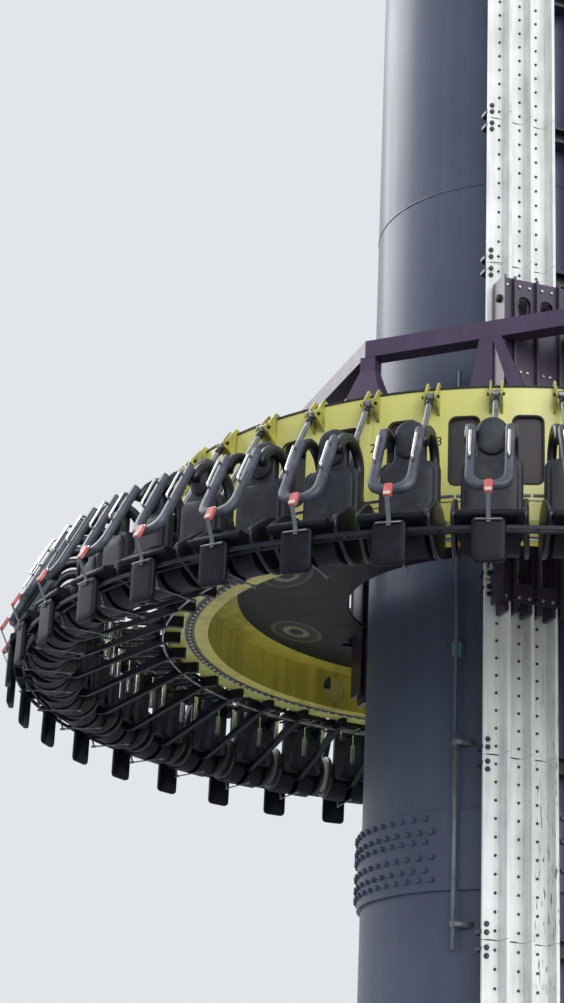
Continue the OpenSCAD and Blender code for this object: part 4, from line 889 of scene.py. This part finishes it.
def sleeve(stops, sides=12):
    """A turned sleeve round the strut, at shares of its length."""
    share, radius = np.array(stops, float).T
    path = LOW_AT + (HIGH_AT - LOW_AT) * share[:, None]
    first = np.tile(cross, (len(stops), 1))
    return loft(sweep(path, first, (1, 0, 0), radius, radius, square=2, sides=sides))


dark_end = sleeve([(0.90, 2.7), (0.905, 3.4), (0.955, 3.4), (0.96, 2.8)])
dark_foot = sleeve([(0.06, 2.8), (0.065, 3.6), (0.13, 3.6), (0.135, 2.7)])
clamp = sleeve([(0.135, 2.7), (0.14, 3.2), (0.19, 3.2), (0.195, 2.7)])
make_piece("strut_sleeves", around(dark_end, dark_foot), paint["black_steel"], "ring", True)
make_piece("strut_clamps", around(clamp), handle_steel, "ring", True)

# %% [markdown]
# ## Under the seats
# Black gusset plates brace every arm beside the drum. A satin release rod with a knob runs out
# under each pan, a pipe that carries air runs round under the drum, and a bar closes each pan's
# front.

# %% Under the seats
GUSSET_Z, GUSSET_T = DRUM_LOW - 5.5, 2.0


def plate(outline, low, thick):
    """A flat plate at a height, whose outline is drawn as seen from above."""
    return loft([np.column_stack([outline, np.full(len(outline), z)]) for z in (low, low + thick)])


brace = np.array([(-16, -360), (-16, -364), (-3.2, -396), (-3.2, -360)])
sides = [plate(brace * (s, 1), GUSSET_Z, GUSSET_T) for s in (1, -1)]
make_piece("arm_gussets", around(*sides), paint["arm_paint"], "ring")

release = rod((0, -446, 722.6), (0, -494, 722.6),
              [(0, 1.7), (0.1, 1.7), (0.11, 0.8), (0.88, 0.8), (0.89, 1.4), (0.96, 1.4), (1, 1.0)])
hanger = rod((0, -491, 723), (0, -495.5, 735.5), [(0, 1.0), (1, 1.0)])
front_bar = rod((-11, -512.3, 740.6), (11, -512.3, 740.6), [(0, 0.8), (1, 0.8)])
make_piece("release_rods", around(release, hanger, front_bar), strut_steel, "ring", True)
make_piece("air_pipe", [band(DRUM_R - 4, 779.2, DRUM_R - 4, 780.8, 1.6)], galvanised, "ring")

# %% [markdown]
# ## Belt fittings
# A cream release tab on each red buckle, and the bright tongue plate that goes in above it.

# %% Belt fittings
button = cushion(rounded(5.6, 3.6, 1.0, steps=3) + (0, -8.6), 0.7, 0.3, crown=0.1, shrink=(0.5,))
tongue = cushion(rounded(4.6, 3.0, 0.8, steps=3) + (0, 3.6), 0.8, 0.2, shrink=(0.5,))
front_y = -BIB_T - 0.1


def on_front(rings, lift):
    """Rings of (across, up, out) on the restraint's front, lifted by a distance."""
    return on_restraint(np.stack([rings[..., 0], front_y - lift - rings[..., 2], rings[..., 1]], -1))


make_piece("buckle_tabs", around(loft(on_front(button, 2.9))),
           plastic["tab_cream"], "ring", True)
make_piece("buckle_tongues", around(loft(on_front(tongue, 0.2))), handle_steel, "ring", True)

# %% [markdown]
# ## Tower trim
# Rings of weld run round the tube between the splices, and the anchor bolts' nuts stand on washers
# round the base flange. A second, painted run of conduit goes up from the galvanised one.

# %% Tower trim
TUBE_R = 146
beads = []
for splice in SPLICES[:-1]:
    a = np.arange(120) * 2 * np.pi / 120
    ripple = 0.1 * np.cos(30 * a)
    section = np.arange(6) * 2 * np.pi / 6
    r = TUBE_R + (0.45 + ripple)[:, None] * np.cos(section)
    z = splice + 704 + (1.3 + ripple)[:, None] * np.sin(section)
    points = np.stack([r * np.sin(a)[:, None], -r * np.cos(a)[:, None], z], -1).reshape(-1, 3)
    beads.append((points, grid_quads(120, 6)[:, ::-1]))
make_piece("weld_beads", beads, paint["tube_paint"], "tower", True)

ANCHOR_R, ANCHORS, FLANGE_T = 190, 24, 8
places, _ = on_ring(ANCHOR_R, (np.arange(ANCHORS) + 0.5) * 360 / ANCHORS, FLANGE_T)
make_piece("anchor_nuts", [heads(places, (0, 0, 1), across=14, height=1.4, sides=16),
                           heads(places, (0, 0, 1), across=10.5, height=8)],
           galvanised, "tower")

PIPE_X, PIPE_Y, PIPE_R = -107.5, -111.3, 2.3


def on_pipe(low, high, stops):
    """A turned length of the conduit between two heights."""
    return rod((PIPE_X, PIPE_Y, low), (PIPE_X, PIPE_Y, high), stops, sides=16)


upper = on_pipe(660, 1038, [(0, PIPE_R - 0.2), (1, PIPE_R - 0.2)])
make_piece("painted_conduit", [upper], paint["tube_paint"], "tower", True)
conduit = [on_pipe(459, 661, [(0, PIPE_R), (1, PIPE_R)])]
for z in (482, 653):
    conduit.append(on_pipe(z - 3, z + 3, [(0, 3.0), (0.1, 3.2), (0.9, 3.2), (1, 3.0)]))
    lug = rounded(21, 5.4, 0.8, steps=3) + (-99, z)
    conduit.append(loft([np.column_stack([lug[:, 0], np.full(len(lug), y), lug[:, 1]])
                         for y in (-116.2, -113.8)]))
piece = make_piece("conduit_and_clamps", conduit, conduit_zinc, "tower", True)
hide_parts("conduit_pipe")

# %% [markdown]
# The saddles that hold the rails stand on the tube with a pair of dark gusset plates on each side
# of every joint. Their outline stays inside the opening that the carriage's ceiling leaves.

# %% Saddle gussets
side_plate = np.array([(-96, -166.5), (-103.4, -166.5), (-104.6, -162), (-104.6, -153), (-96, -148)])
plates = []
for joint in JOINT_1 + BAY * np.arange(BAYS):
    for low in (joint - 9.2, joint + 5.8):
        for sx, sy, shift in ((1, 1, 0), (-1, 1, 0), (1, -1, 11.6), (-1, -1, 11.6)):
            plates.append(plate((side_plate + (shift, 0)) * (sx, sy), low, 3.4))
make_piece("saddle_gussets", plates, paint["bracket_paint"], "tower")

# %% [markdown]
# Where two rail plates meet, the chalked paint has cracked and grit has blackened the joint in
# short slivers. Each one is a thin lens, pointed at both ends, that lies on the plate.

# %% Joint cracks
rng = np.random.default_rng(7)
ends = np.array([(-102, -88), (-80, -66), (-56, -44)], float)
slivers = []
for joint in JOINT_1 + BAY * np.arange(BAYS):
    for sx, sy in ((1, 1), (-1, 1)):
        for left, right in ends + rng.uniform(-2, 2, (3, 2)):
            x = np.linspace(left, right, 6)
            half = 0.5 * np.sin(np.linspace(0.15, np.pi - 0.15, 6))
            middle = joint + np.cumsum(rng.uniform(-0.5, 0.5, 6))
            edge = np.concatenate([np.column_stack([x, middle + half]),
                                   np.column_stack([x, middle - half])[::-1]])
            slivers.append(loft([np.column_stack([sx * edge[:, 0], np.full(12, sy * y), edge[:, 1]])
                                 for y in (-RAIL_FACE + 0.3, -RAIL_FACE - 0.15)]))
make_piece("joint_cracks", slivers, paint["black_steel"], "tower")

# %% [markdown]
# ## Floor, sky and lamps
# The picture's background is a pale overcast sky. A pale floor catches the shadow, and the world
# shows the same pale colour to the camera and to mirrors. Two broad lamps and a soft world light
# the paint at about the level at which its colour renders as written.

# %% Stage and light
FLOOR_R = 90000
turn = np.arange(64) * 2 * np.pi / 64
disc = np.stack([np.cos(turn) * FLOOR_R, np.sin(turn) * FLOOR_R, np.full(64, -0.5)], 1)
floor_mesh = bpy.data.meshes.new("floor")
floor_mesh.from_pydata((disc * MM).tolist(), [], [list(range(64))])
floor_paint, tree, shader = new_material("pale_floor", Roughness=0.9)
cloud = laid_on(tree, "TexNoise", 900, Detail=4).outputs["Fac"]
share = add(tree, "MapRange", Value=cloud, From_Min=0.3, From_Max=0.7).outputs[0]
pale = add(tree, "Mix", BY_COLOUR, Factor=share, in_6=linear("#b9bcbf"), in_7=linear("#bcbfc2")).outputs[2]
wire(shader, Base_Color=pale)
floor_mesh.materials.append(floor_paint)
floor = bpy.data.objects.new("floor", floor_mesh)
bpy.context.scene.collection.objects.link(floor)
floor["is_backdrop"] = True

world = bpy.data.worlds.new("overcast")
bpy.context.scene.world = world
world.use_nodes = True
tree = world.node_tree
tree.nodes.clear()
ray = add(tree, "LightPath").outputs
straight = add(tree, "Math", {"operation": "MAXIMUM"}, in_0=ray["Is Camera Ray"],
               in_1=ray["Is Transmission Ray"]).outputs[0]
seen = add(tree, "Math", {"operation": "MAXIMUM"}, in_0=straight, in_1=ray["Is Glossy Ray"])
light = add(tree, "Background", Color=linear("#e8ecf4"), Strength=0.52)
backdrop = add(tree, "Background", Color=linear("#e2e6ea"), Strength=1.0)
mixed = add(tree, "MixShader", in_0=seen.outputs[0], in_1=light.outputs[0], in_2=backdrop.outputs[0])
add(tree, "OutputWorld", Surface=mixed.outputs[0])


def sun(name, strength, azimuth, elevation, softness):
    """A distant lamp that shines from an azimuth (0 is the front, negative the left) and elevation."""
    lamp = bpy.data.lights.new(name, "SUN")
    lamp.energy, lamp.angle = strength, math.radians(softness)
    holder = bpy.data.objects.new(name, lamp)
    bpy.context.scene.collection.objects.link(holder)
    holder.rotation_euler = (math.radians(90 - elevation), 0, math.radians(azimuth))


sun("key_lamp", 1.7, -148, 40, 40)
sun("fill_lamp", 2.0, -2, 20, 50)
print("lit")

# %% [markdown]
# ## Finish
# The box round the dressed ride is measured at the end.

# %% Sizes and finish
low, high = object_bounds()
